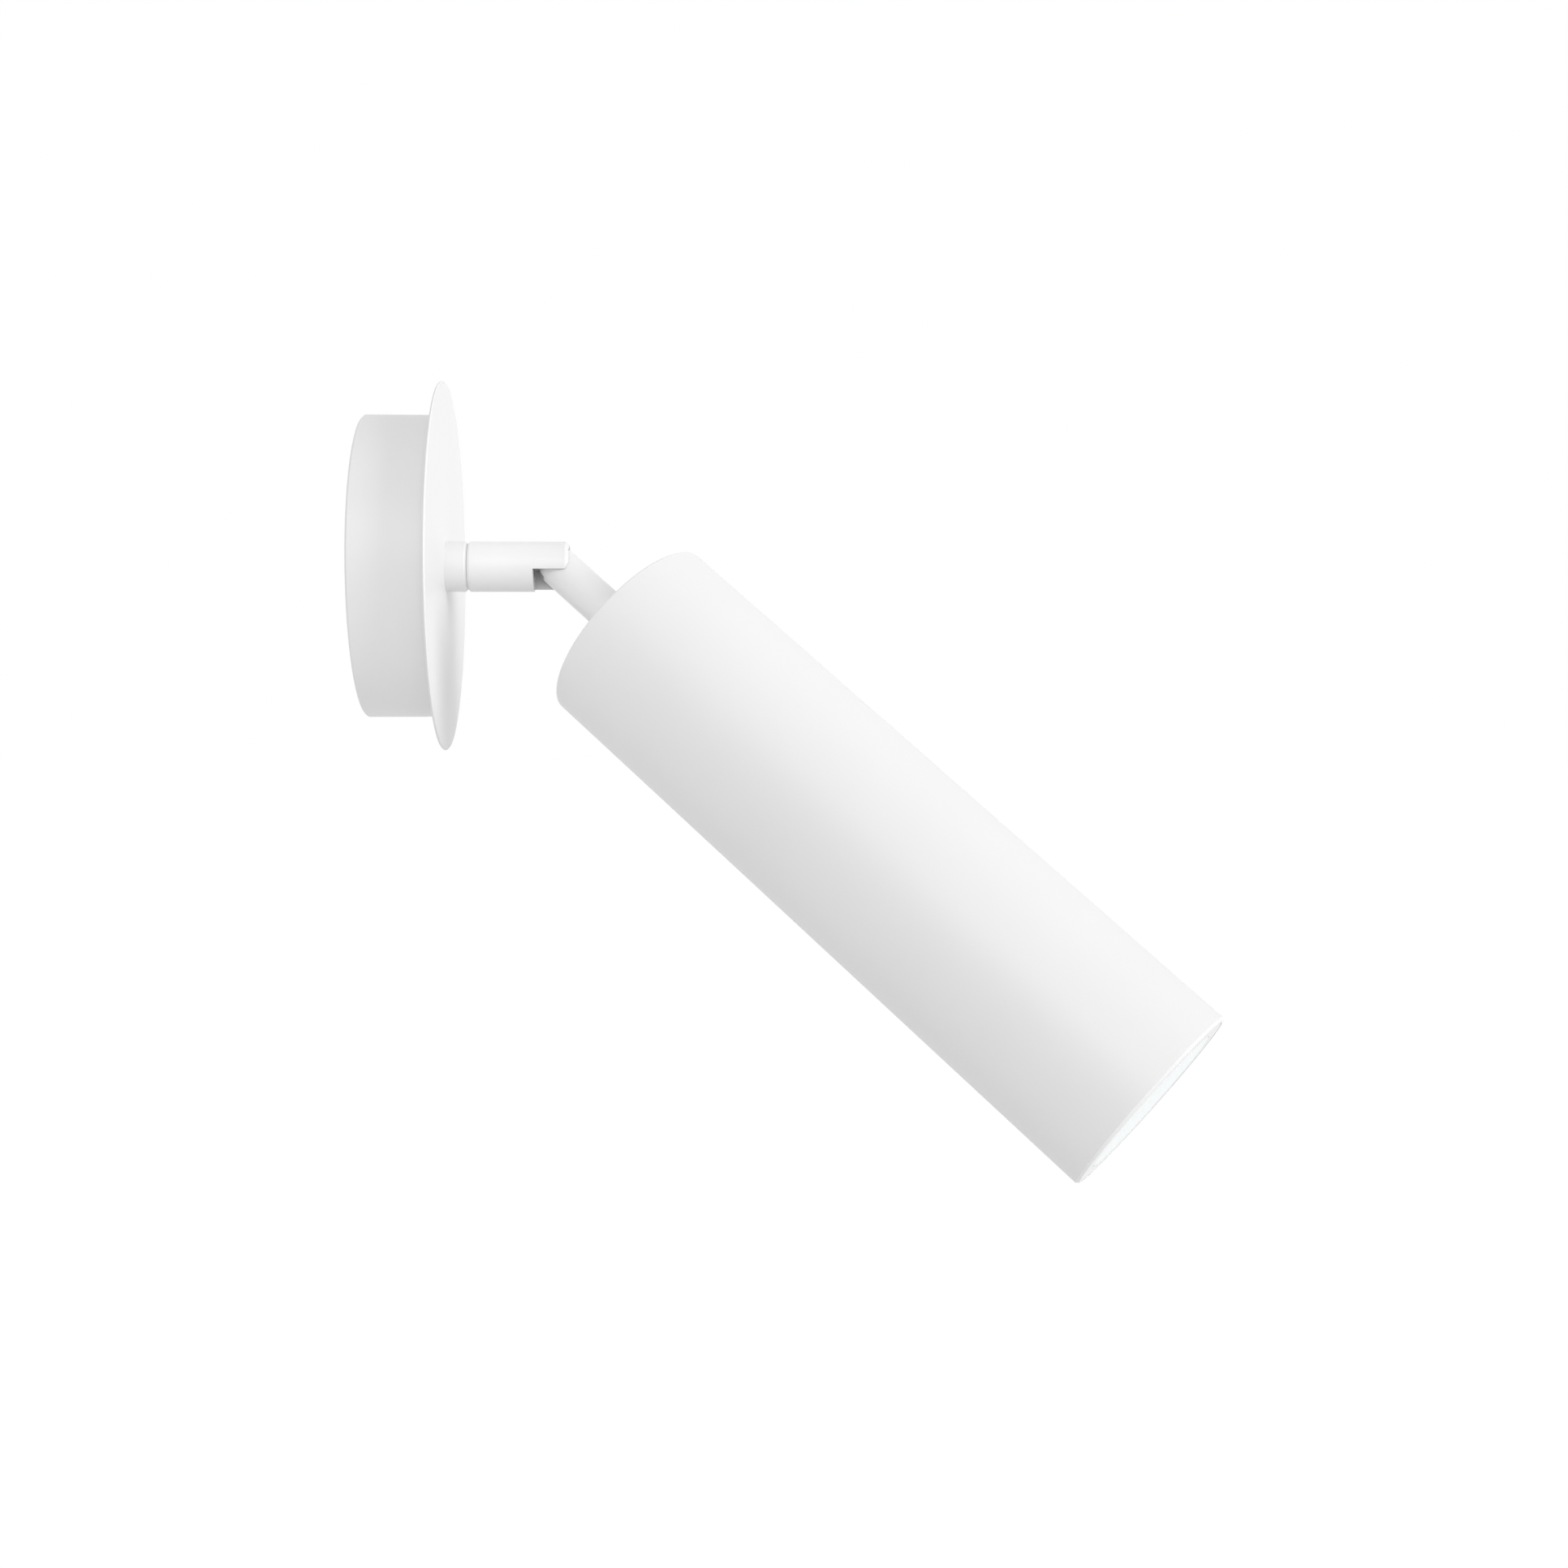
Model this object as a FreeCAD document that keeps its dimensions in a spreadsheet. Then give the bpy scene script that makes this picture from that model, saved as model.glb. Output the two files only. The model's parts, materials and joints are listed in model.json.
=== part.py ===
import FreeCAD, Part
import math
import os
import re
import Sketcher

# A wall spotlight: a round box on the wall, a wider thin cover disc, a short round neck that
# swivels, a fork in which the arm tilts, and a long cylinder head with a reflector lamp.
# Millimetres and degrees. The origin is the middle of the box's back on the wall, +X points
# out of the wall and +Z up. Pieces of the fork are drawn in a frame that swivels about X, and
# pieces of the head in a frame whose origin is the tilt pivot and whose X runs along the arm.

doc = FreeCAD.newDocument("wall_spotlight")

# Driving sizes
sizes = {
    # the pose in which the light is drawn: turned sideways, and down from straight out
    "rest_swivel": 26.8,
    "rest_tilt": 45.7,
    # gaps: between a piece and its hole, round a thread, between pieces that turn, between the
    # neck's two faces, and beside the arm's ball
    "fit_gap": 0.1,
    "thread_gap": 0.03,
    "running_gap": 0.3,
    "neck_gap": 0.04,
    "slot_gap": 0.1,
    "thread_end": 0.7,
    # the box on the wall
    "box_diameter": 90,
    "box_depth": 22.5,
    "box_wall": 1.2,
    "box_chamfer": 0.5,
    "wall_slot_spacing": 64,
    "wall_slot_width": 4.5,
    "wall_slot_travel": 5,
    # the cable's way in, to the viewer's side of the neck
    "cable_hole_diameter": 12,
    "cable_hole_y": -22,
    "cable_hole_z": 12,
    "bush_bore": 8.5,
    "bush_flange_diameter": 16,
    "bush_flange_thickness": 1.6,
    # the cover disc with its rim that slips into the box
    "cover_diameter": 110,
    "cover_thickness": 0.8,
    "cover_edge_chamfer": 0.3,
    "rim_depth": 8,
    "rim_wall": 1.5,
    "cover_screw_diameter": 4,
    "cover_screw_length": 4,
    # the terminal strip
    "terminal_inset": 20,
    "terminal_pitch": 10,
    "terminal_width": 16,
    "terminal_height": 12,
    "terminal_groove": 1.4,
    "insert_height": 5.5,
    "insert_diameter": 4.4,
    "insert_bore": 3,
    "insert_length": 14,
    "terminal_screw_diameter": 2.5,
    "terminal_screw_head": 3.4,
    "terminal_screw_offset": 4,
    "strip_screw_diameter": 3,
    "strip_screw_head": 5.2,
    "strip_screw_seat": 9,
    # the earth points
    "earth_y": -17,
    "earth_z": -27,
    "earth_boss_diameter": 8,
    "earth_boss_height": 4,
    "earth_screw_diameter": 4,
    "earth_screw_head": 7.4,
    "earth_washer_diameter": 8,
    "earth_washer_thickness": 0.6,
    "tag_diameter": 8,
    "tag_thickness": 0.8,
    "tag_tongue_width": 3.4,
    "tag_reach": 8,
    "tag_barrel_diameter": 3.2,
    "tag_barrel_length": 5,
    # the collar on the cover and its fixing behind
    "neck_chamfer": 0.75,
    "collar_length": 6.4,
    "collar_tail_diameter": 13,
    "collar_washer_diameter": 19,
    "collar_washer_thickness": 0.8,
    "collar_nut_flats": 17,
    "collar_nut_height": 2.5,
    # the swivel stem through the collar and its stop
    "stem_diameter": 9,
    "wire_bore": 6.2,
    "swivel_washer_diameter": 13,
    "swivel_washer_thickness": 0.8,
    "spring_washer_thickness": 0.8,
    "stem_nut_flats": 13,
    "stem_nut_height": 3,
    "swivel_angle": 340,
    "stop_pin_diameter": 1.2,
    "stop_pin_reach": 2,
    "stop_pin_seat": 4,
    "stop_spare_angle": 0.5,
    # the fork and the pivot
    "fork_solid_length": 19.6,
    "slot_to_pivot": 7.3,
    "pivot_to_fork_end": 3.25,
    "fork_end_chamfer": 1.05,
    "ear_thickness": 1.4,
    "pivot_screw_diameter": 3,
    "pivot_screw_head": 4.8,
    "pivot_screw_head_height": 1.2,
    "pivot_screw_seat": 0.5,
    "pivot_screw_bite": 0.6,
    "pivot_washer_diameter": 5,
    "pivot_washer_recess": 0.5,
    "pivot_washer_play": 0.05,
    # the arm
    "arm_diameter": 12.1,
    "arm_to_head": 31.1,
    "arm_tail_diameter": 10,
    "arm_wire_slot": 2.4,
    "arm_bore_start": 5,
    "arm_washer_diameter": 16,
    "arm_washer_thickness": 0.8,
    "arm_nut_flats": 14,
    "arm_nut_height": 4,
    # the head's tube, rear cap and mouth
    "head_diameter": 60,
    "head_length": 203.1,
    "head_wall": 1.5,
    "mouth_chamfer": 0.8,
    "back_chamfer": 0.3,
    "cap_thickness": 3,
    "cap_rim_depth": 10,
    "cap_rim_wall": 2.5,
    "cap_screw_diameter": 3,
    "cap_screw_length": 3.6,
    # the ring in the mouth that steadies the lamp
    "ring_recess": 0.1,
    "ring_thickness": 1,
    "ring_lip": 1.5,
    "ring_skirt_depth": 9,
    "ring_skirt_wall": 2,
    "ring_slit_width": 1.5,
    # the reflector lamp
    "lamp_edge_gap": 1.4,
    "lamp_rim_depth": 3,
    "lamp_rim_wall": 1.6,
    "reflector_depth": 30,
    "reflector_bulge": 48,
    "reflector_wall": 1.2,
    "lamp_neck_diameter": 26,
    "lamp_neck_depth": 14,
    "lens_seat_depth": 2,
    "lens_dome": 0.2,
    "emitter_diameter": 16,
    "emitter_thickness": 1.6,
    "pin_spacing": 10,
    "pin_diameter": 2.9,
    "pin_length": 5,
    "pin_head_diameter": 4.9,
    "pin_head_length": 2,
    # the lampholder and the bracket that carries it
    "holder_diameter": 25,
    "holder_depth": 17,
    "contact_thickness": 1.5,
    "holder_screw_diameter": 3,
    "holder_screw_head": 5.4,
    "holder_screw_sink": 3,
    "holder_screw_spacing": 14,
    "bracket_thickness": 1.5,
    "bracket_width": 18,
    "bracket_height": 20,
    "bracket_foot_start": 9.6,
    "bracket_foot_screw_height": 14,
    "bracket_foot_screw_spacing": 10,
    "bracket_bend": 1.5,
    "bracket_screw_diameter": 3,
    "bracket_screw_head": 5.4,
    "bracket_screw_bite": 2.3,
    "head_earth_place": 80,
    "head_earth_screw_diameter": 3,
    "head_earth_screw_head": 5.6,
    # the insulated leads
    "lead_diameter": 1.8,
    "lead_ring_radius": 1.7,
    "lead_end_gap": 0.4,
    "lead_wall_gap": 0.6,
    "lead_stem_reach": 5.5,
    "lead_slot_inset": 2,
    "lead_free_run": 7.2,
    "lead_socket_run": 9,
}
sheet = doc.addObject("Spreadsheet::Sheet", "Sizes")
for row, (alias, size) in enumerate(sizes.items(), 1):
    sheet.set(f"A{row}", alias)
    sheet.set(f"B{row}", str(size))
    sheet.setAlias(f"B{row}", alias)
doc.recompute()

# Places along the neck, measured from the wall
cover_front = "(box_depth + cover_thickness)"
collar_front = f"({cover_front} + collar_length)"
fork_back = f"({collar_front} + neck_gap)"
slot_back = f"({fork_back} + fork_solid_length)"
pivot_x = f"({slot_back} + slot_to_pivot)"
fork_front = f"({pivot_x} + pivot_to_fork_end)"
collar_tail_end = "(box_depth - collar_washer_thickness - collar_nut_height - thread_end)"
spring_washer_front = f"({collar_tail_end} - swivel_washer_thickness)"
stem_nut_front = f"({spring_washer_front} - spring_washer_thickness)"
stem_end = f"({stem_nut_front} - stem_nut_height - thread_end)"
slot_half = "(arm_diameter / 2 + slot_gap)"
neck_radius = f"({slot_half} + ear_thickness)"
stop_pin_radius = f"((stem_diameter / 2 + {neck_radius}) / 2)"
terminal_y = "(box_diameter / 2 - terminal_inset)"

# Places along the head, measured from the pivot
cap_front = "(arm_to_head + cap_thickness)"
arm_nut_back = f"({cap_front} + arm_washer_thickness)"
arm_tail_end = f"({arm_nut_back} + arm_nut_height + thread_end)"
tube_inner_radius = "(head_diameter / 2 - head_wall)"
lamp_radius = f"({tube_inner_radius} - fit_gap - ring_skirt_wall - lamp_edge_gap)"
opening_radius = f"({lamp_radius} - ring_lip)"
mouth = "(arm_to_head + head_length)"
ring_front = f"({mouth} - ring_recess)"
lamp_face = f"({ring_front} - ring_thickness)"
rim_back = f"({lamp_face} - lamp_rim_depth)"
neck_front = f"({rim_back} - reflector_depth)"
lamp_back = f"({neck_front} - lamp_neck_depth)"
holder_back = f"({lamp_back} - holder_depth)"

# Frames in which the pieces are drawn
wall_frame = "placement(vector(0; 0; 0); rotationx(0))"
fork_frame = "placement(vector(0; 0; 0); rotationx(-rest_swivel))"
head_frame = f"placement(vector({pivot_x}; 0; 0); rotationx(-rest_swivel) * rotationy(rest_tilt))"


def bound(text):
    """An expression in the sheet's own words, as the document reads it."""
    return re.sub(r"[a-z]\w*", lambda word: "Sizes." + word[0] if word[0] in sizes else word[0], str(text))


def value(text):
    """What an expression comes to now."""
    return float(sheet.evalExpression(bound(text)))


def new_body(label, frame=wall_frame, shift=None, turn="rotationx(0)"):
    """An empty body in a frame, moved by three expressions in it and then turned."""
    body = doc.addObject("PartDesign::Body", label)
    body.Label = label
    body.AllowCompound = True
    place = frame if shift is None else f"{frame} * placement(vector({'; '.join(shift)}); {turn})"
    body.setExpression("Placement", bound(place))
    return body


def new_sketch(body, axis, offset="0"):
    """A sketch square to the body's X, Y or Z axis, at an offset along it."""
    roles = {"X": "YZ_Plane", "Y": "XZ_Plane", "Z": "XY_Plane"}
    plane = next(item for item in body.Origin.OriginFeatures if item.Role == roles[axis])
    sketch = body.newObject("Sketcher::SketchObject", body.Label + "_sketch")
    sketch.AttachmentSupport = [(plane, "")]
    sketch.MapMode = "FlatFace"
    # the sketch plane that is square to Y looks along -Y
    sign = "-" if axis == "Y" else ""
    sketch.setExpression("AttachmentOffset.Base.z", bound(f"{sign}({offset})"))
    return sketch


def constrain(sketch, kind, where, size, text):
    """A driven constraint whose size follows an expression."""
    name = f"size{sketch.ConstraintCount}"
    number = sketch.addConstraint(Sketcher.Constraint(kind, *where, size))
    sketch.renameConstraint(number, name)
    sketch.setExpression(f"Constraints.{name}", bound(text))


def pin_point(sketch, geometry, point, across, up):
    """Hold a point of the sketch at two expressions from its origin."""
    constrain(sketch, "DistanceX", (-1, 1, geometry, point), value(across), across)
    constrain(sketch, "DistanceY", (-1, 1, geometry, point), value(up), up)


def draw_outline(sketch, corners):
    """A closed outline. A corner of two expressions starts a straight side. One with a third,
    a radius, starts an arc that bulges to the left of its direction, or to the right where a
    fourth says so."""
    first = sketch.GeometryCount
    points = [FreeCAD.Vector(value(corner[0]), value(corner[1]), 0) for corner in corners]
    count = len(corners)
    joints = []
    for number, corner in enumerate(corners):
        start, end = points[number], points[(number + 1) % count]
        if len(corner) == 2:
            sketch.addGeometry(Part.LineSegment(start, end), False)
            joints.append((1, 2))
            continue
        radius = value(corner[2])
        rightwards = len(corner) == 4
        chord = end - start
        bulge = FreeCAD.Vector(-chord.y, chord.x, 0).normalize() * (-1 if rightwards else 1)
        centre = (start + end) / 2 - bulge * math.sqrt(radius ** 2 - chord.Length ** 2 / 4)
        circle = Part.Circle(centre, FreeCAD.Vector(0, 0, 1), radius)
        ends = (start, end) if rightwards else (end, start)
        sketch.addGeometry(Part.ArcOfCircle(circle, *[circle.parameter(point) for point in ends]), False)
        joints.append((1, 2) if rightwards else (2, 1))
    for number in range(count):
        after = (number + 1) % count
        sketch.addConstraint(Sketcher.Constraint("Coincident", first + number, joints[number][1],
                                                 first + after, joints[after][0]))
    for number, corner in enumerate(corners):
        pin_point(sketch, first + number, joints[number][0], corner[0], corner[1])
        if len(corner) > 2:
            constrain(sketch, "Radius", (first + number,), value(corner[2]), corner[2])


def draw_circle(sketch, across, up, diameter):
    """A circle whose middle and diameter are expressions."""
    number = sketch.GeometryCount
    centre = FreeCAD.Vector(value(across), value(up), 0)
    sketch.addGeometry(Part.Circle(centre, FreeCAD.Vector(0, 0, 1), value(diameter) / 2), False)
    pin_point(sketch, number, 3, across, up)
    constrain(sketch, "Diameter", (number,), value(diameter), diameter)


def draw_rectangle(sketch, left, right, low, high):
    """A rectangle between four expressions."""
    draw_outline(sketch, [(left, low), (right, low), (right, high), (left, high)])


def draw_hexagon(sketch, flats):
    """A hexagon round the sketch's origin, of a width across its flats."""
    angles = [f"{60 * number} deg" for number in range(6)]
    draw_outline(sketch, [(f"{flats} / sqrt(3) * cos({angle})", f"{flats} / sqrt(3) * sin({angle})")
                          for angle in angles])


def draw_slot(sketch, across, up, travel, width):
    """A round-ended slot along the sketch's second axis."""
    first = sketch.GeometryCount
    middle = FreeCAD.Vector(value(across), value(up), 0)
    reach = FreeCAD.Vector(0, value(travel) / 2, 0)
    half = FreeCAD.Vector(value(width) / 2, 0, 0)
    normal = FreeCAD.Vector(0, 0, 1)
    for centre, start in ((middle + reach, 0), (middle - reach, math.pi)):
        sketch.addGeometry(Part.ArcOfCircle(Part.Circle(centre, normal, half.x), start, start + math.pi), False)
    for side in (half, -half):
        sketch.addGeometry(Part.LineSegment(middle - reach + side, middle + reach + side), False)
    for arc, point, line, end in ((0, 1, 2, 2), (0, 2, 3, 2), (1, 2, 2, 1), (1, 1, 3, 1)):
        sketch.addConstraint(Sketcher.Constraint("Tangent", first + arc, point, first + line, end))
    pin_point(sketch, first, 3, across, f"{up} + {travel} / 2")
    pin_point(sketch, first + 1, 3, across, f"{up} - {travel} / 2")
    constrain(sketch, "Radius", (first,), half.x, f"{width} / 2")


def turn(body, corners):
    """Turn an outline of places along X and radii into a solid of revolution."""
    sketch = new_sketch(body, "Y")
    draw_outline(sketch, corners)
    turning = body.newObject("PartDesign::Revolution", body.Label + "_turning")
    turning.Profile = sketch
    turning.ReferenceAxis = (sketch, ["H_Axis"])
    turning.Angle = 360
    doc.recompute()
    return body


def pad(body, sketch, axis, length, towards=1):
    """Raise a sketch along its axis, forwards, backwards or evenly both ways (0)."""
    raised = body.newObject("PartDesign::Pad", body.Label + "_pad")
    raised.Profile = sketch
    raised.Midplane = towards == 0
    raised.Reversed = (towards < 0) != (axis == "Y")
    raised.setExpression("Length", bound(length))
    doc.recompute()
    return body


def cut(body, sketch, axis, depth, towards=1):
    """Cut a sketch along its axis, and stop if it takes nothing away."""
    before = body.Shape.Volume
    pocket = body.newObject("PartDesign::Pocket", body.Label + "_cut")
    pocket.Profile = sketch
    pocket.Midplane = towards == 0
    pocket.Reversed = (towards > 0) != (axis == "Y")
    pocket.setExpression("Length", bound(depth))
    doc.recompute()
    if body.Shape.Volume >= before:
        raise RuntimeError(f"a cut in {body.Label} takes nothing away")
    return body


def drill(body, axis, holes, offset, depth, towards=1):
    """Cut round holes, each of a place in the sketch and a diameter, from an offset."""
    sketch = new_sketch(body, axis, offset)
    for across, up, diameter in holes:
        draw_circle(sketch, across, up, diameter)
    return cut(body, sketch, axis, depth, towards)


def edges_where(feature, chosen):
    """The names of a feature's edges that a test picks."""
    return [f"Edge{number}" for number, edge in enumerate(feature.Shape.Edges, 1) if chosen(edge)]


def hex_nut(label, back, height, flats, bore, frame=wall_frame):
    """A hexagon nut round the frame's X axis."""
    body = new_body(label, frame)
    sketch = new_sketch(body, "X", back)
    draw_hexagon(sketch, flats)
    draw_circle(sketch, "0", "0", bore)
    return pad(body, sketch, "X", height)


def washer(label, back, thickness, diameter, bore, frame=wall_frame):
    """A flat ring round the frame's X axis."""
    body = new_body(label, frame)
    front = f"{back} + {thickness}"
    return turn(body, [(back, f"{bore} / 2"), (front, f"{bore} / 2"),
                       (front, f"{diameter} / 2"), (back, f"{diameter} / 2")])


def plain_disc(label, back, thickness, diameter, frame=wall_frame):
    """A disc round the frame's X axis."""
    body = new_body(label, frame)
    disc = new_sketch(body, "X", back)
    draw_circle(disc, "0", "0", diameter)
    return pad(body, disc, "X", thickness)


# Shares of a screw's own size: a pan head's height to its thread, the rounded edge of a head to
# its width, the slot's width to the head and its depth to the head's height, a grub screw's
# pointed edge and its socket to its thread
pan_height = 0.6
head_edge = 0.1
drive_slot_width = 0.16
drive_slot_depth = 0.5
grub_edge = 0.1
socket_flats = 0.5
socket_depth = 0.5


def pan_screw(label, diameter, length, head, head_height="", **place):
    """A slotted pan head screw along X. Its head sits on x = 0 and its shank points to -X."""
    body = new_body(label, **place)
    top = head_height or f"({diameter} * {pan_height})"
    edge = f"({head} * {head_edge})"
    turn(body, [(f"-({length})", "0"), (f"-({length})", f"{diameter} / 2 - {edge} / 2"),
                (f"-({length}) + {edge} / 2", f"{diameter} / 2"), ("0", f"{diameter} / 2"),
                ("0", f"{head} / 2"), (f"{top} - {edge}", f"{head} / 2"), (top, f"{head} / 2 - {edge}"),
                (top, "0")])
    sketch = new_sketch(body, "X", top)
    half_slot = f"{head} * {drive_slot_width} / 2"
    draw_rectangle(sketch, f"-{head}", head, f"-{half_slot}", half_slot)
    return cut(body, sketch, "X", f"{top} * {drive_slot_depth}", -1)


def grub_screw(label, diameter, length, **place):
    """A headless socket screw along X. Its socket is at x = 0 and it points to -X."""
    body = new_body(label, **place)
    edge = f"({diameter} * {grub_edge})"
    turn(body, [(f"-({length})", "0"), (f"-({length})", f"{diameter} / 2 - {edge}"),
                (f"-({length}) + {edge}", f"{diameter} / 2"), ("0", f"{diameter} / 2"), ("0", "0")])
    sketch = new_sketch(body, "X")
    draw_hexagon(sketch, f"({diameter} * {socket_flats})")
    return cut(body, sketch, "X", f"{diameter} * {socket_depth}", -1)


def group(label, pattern, frame, places):
    """Copies of one piece, each at a point of a frame and pointing its X along a direction."""
    base = FreeCAD.Placement(doc.getObject(pattern.Name).evalExpression(bound(frame)))
    solids = []
    for point, direction in places:
        spot = FreeCAD.Vector(*[value(text) for text in point])
        turned = FreeCAD.Rotation(FreeCAD.Vector(1, 0, 0), FreeCAD.Vector(*direction))
        solid = pattern.Shape.copy()
        solid.Placement = base.multiply(FreeCAD.Placement(spot, turned)).multiply(solid.Placement)
        solids.append(solid)
    feature = doc.addObject("Part::Feature", label)
    feature.Label = label
    feature.Shape = Part.makeCompound(solids)
    return feature


# The share of the shorter straight run that a lead's arc takes up, and how closely the lead's
# volume must follow its length
run_share = 0.45
volume_tolerance = 0.01


def lead(label, frame, points):
    """An insulated lead through chosen points: straight runs joined by tangent arcs."""
    route = [FreeCAD.Vector(*[value(text) for text in point]) for point in points]
    edges = []
    start = route[0]
    tightest = math.inf
    for before, corner, after in zip(route, route[1:], route[2:]):
        back, ahead = before - corner, after - corner
        setback = run_share * min(back.Length, ahead.Length)
        half_turn = (math.pi - back.getAngle(ahead)) / 2
        radius = setback / math.tan(half_turn)
        tightest = min(tightest, radius)
        bisector = (back.normalize() + ahead.normalize()).normalize()
        first, last = corner + back * setback, corner + ahead * setback
        middle = corner + bisector * radius * (1 / math.cos(half_turn) - 1)
        edges += [Part.LineSegment(start, first).toShape(), Part.Arc(first, middle, last).toShape()]
        start = last
    edges.append(Part.LineSegment(start, route[-1]).toShape())
    path = Part.Wire(edges)
    radius = value("lead_diameter / 2")
    ring = Part.Wire(Part.Circle(route[0], route[1] - route[0], radius).toShape())
    shape = path.makePipeShell([ring], True, False)
    if abs(shape.Volume / (math.pi * radius ** 2 * path.Length) - 1) > volume_tolerance:
        raise RuntimeError(f"{label} isn't as long as its route")
    if tightest < math.inf:
        print(f"{label}: {path.Length:.1f} mm long, tightest radius {tightest:.1f} mm")
    feature = doc.addObject("Part::Feature", label)
    feature.Label = label
    feature.Shape = shape
    feature.setExpression("Placement", bound(frame))
    return feature


def around(degrees):
    """A place on the ring on which the three leads lie inside the hollow neck."""
    return f"lead_ring_radius * cos({degrees} deg)", f"lead_ring_radius * sin({degrees} deg)"


# The three leads, and the directions in which they lie round the middle of the neck
lead_angles = {"live": 60, "neutral": -60, "earth": 180}


# Wall box

def wall_box():
    """A deep round cup, its closed back against the wall, with slots for the wall screws, the
    cable's hole, a threaded boss for the earth screw and tapped holes for the cover's screws."""
    body = new_body("wall_box")
    outer = "box_diameter / 2"
    inner = "box_diameter / 2 - box_wall"
    turn(body, [("0", "0"), ("0", f"{outer} - box_chamfer"), ("box_chamfer", outer), ("box_depth", outer),
                ("box_depth", inner), ("box_wall", inner), ("box_wall", "0")])
    boss = new_sketch(body, "X", "box_wall")
    draw_circle(boss, "earth_y", "earth_z", "earth_boss_diameter")
    pad(body, boss, "X", "earth_boss_height")
    slots = new_sketch(body, "X")
    for side in ("", "-"):
        draw_slot(slots, "0", f"{side}wall_slot_spacing / 2", "wall_slot_travel", "wall_slot_width")
    draw_circle(slots, "cable_hole_y", "cable_hole_z", "cable_hole_diameter")
    draw_circle(slots, terminal_y, "terminal_pitch / 2", "strip_screw_diameter + 2 * thread_gap")
    cut(body, slots, "X", "box_wall")
    drill(body, "X", [("earth_y", "earth_z", "earth_screw_diameter + 2 * thread_gap")], "box_wall / 2",
          "box_wall + earth_boss_height")
    drill(body, "Z", [("box_depth - rim_depth / 2", "0", "cover_screw_diameter + 2 * thread_gap")], "0",
          "box_diameter", 0)
    return body


def cable_bush():
    """A rubber bush pressed into the cable's hole from inside, flush with the box's back."""
    body = new_body("cable_bush", shift=("0", "cable_hole_y", "cable_hole_z"))
    neck = "cable_hole_diameter / 2 - fit_gap"
    flange = "box_wall + bush_flange_thickness"
    return turn(body, [("0", "bush_bore / 2"), ("0", neck), ("box_wall", neck),
                       ("box_wall", "bush_flange_diameter / 2"), (flange, "bush_flange_diameter / 2"),
                       (flange, "bush_bore / 2")])


# Terminal strip

poles = (-1, 0, 1)
insert_x = "(box_wall + insert_height)"
terminal_top = "(box_wall + terminal_height)"


def terminal_strip():
    """A moulded three-pole strip with a through bore, two screw wells and grooves between poles."""
    body = new_body("terminal_strip")
    block = new_sketch(body, "X", "box_wall")
    draw_rectangle(block, f"{terminal_y} - terminal_width / 2", f"{terminal_y} + terminal_width / 2",
                   f"-{len(poles)} * terminal_pitch / 2", f"{len(poles)} * terminal_pitch / 2")
    pad(body, block, "X", "terminal_height")
    drill(body, "Y", [(insert_x, f"{pole} * terminal_pitch", "insert_diameter + 2 * fit_gap") for pole in poles],
          terminal_y, "2 * terminal_width", 0)
    wells = [(f"{terminal_y} + {side} * terminal_screw_offset", f"{pole} * terminal_pitch",
              "terminal_screw_head + 2 * fit_gap") for pole in poles for side in (-1, 1)]
    drill(body, "X", wells, insert_x, "terminal_height")
    grooves = new_sketch(body, "Y", terminal_y)
    for side in ("", "-"):
        middle = f"{side}terminal_pitch / 2"
        draw_rectangle(grooves, f"{terminal_top} - terminal_groove", f"{terminal_top} + terminal_groove",
                       f"{middle} - terminal_groove / 2", f"{middle} + terminal_groove / 2")
    cut(body, grooves, "Y", "2 * terminal_width", 0)
    hole = [(terminal_y, "terminal_pitch / 2", "strip_screw_diameter + 2 * fit_gap")]
    drill(body, "X", hole, "0", "2 * terminal_height")
    recess = [(terminal_y, "terminal_pitch / 2", "strip_screw_head + 2 * fit_gap")]
    return drill(body, "X", recess, "box_wall + strip_screw_seat", "terminal_height")


def terminal_inserts():
    """Three brass tubes with tapped holes for the clamping screws."""
    body = new_body("terminal_inserts")
    rings = new_sketch(body, "Y", terminal_y)
    for pole in poles:
        draw_circle(rings, insert_x, f"{pole} * terminal_pitch", "insert_diameter")
        draw_circle(rings, insert_x, f"{pole} * terminal_pitch", "insert_bore")
    pad(body, rings, "Y", "insert_length", 0)
    holes = [(f"{terminal_y} + {side} * terminal_screw_offset", f"{pole} * terminal_pitch",
              "terminal_screw_diameter + 2 * thread_gap") for pole in poles for side in (-1, 1)]
    return drill(body, "X", holes, insert_x, "insert_diameter")


def terminal_screws():
    """Six clamping screws whose tips stand on the leads."""
    reach = "(insert_diameter / 2 - lead_diameter / 2 - thread_gap)"
    screw = pan_screw("terminal_screw", "terminal_screw_diameter", reach, "terminal_screw_head")
    places = [((f"{insert_x} + insert_diameter / 2", f"{terminal_y} + {side} * terminal_screw_offset",
                f"{pole} * terminal_pitch"), (1, 0, 0)) for pole in poles for side in (-1, 1)]
    return group("terminal_screws", screw, wall_frame, places)


def strip_screw():
    """The screw that holds the terminal strip to the box's back."""
    return pan_screw("strip_screw", "strip_screw_diameter", "strip_screw_seat + box_wall / 2",
                     "strip_screw_head",
                     shift=("box_wall + strip_screw_seat", terminal_y, "terminal_pitch / 2"))


# Earth points

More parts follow.
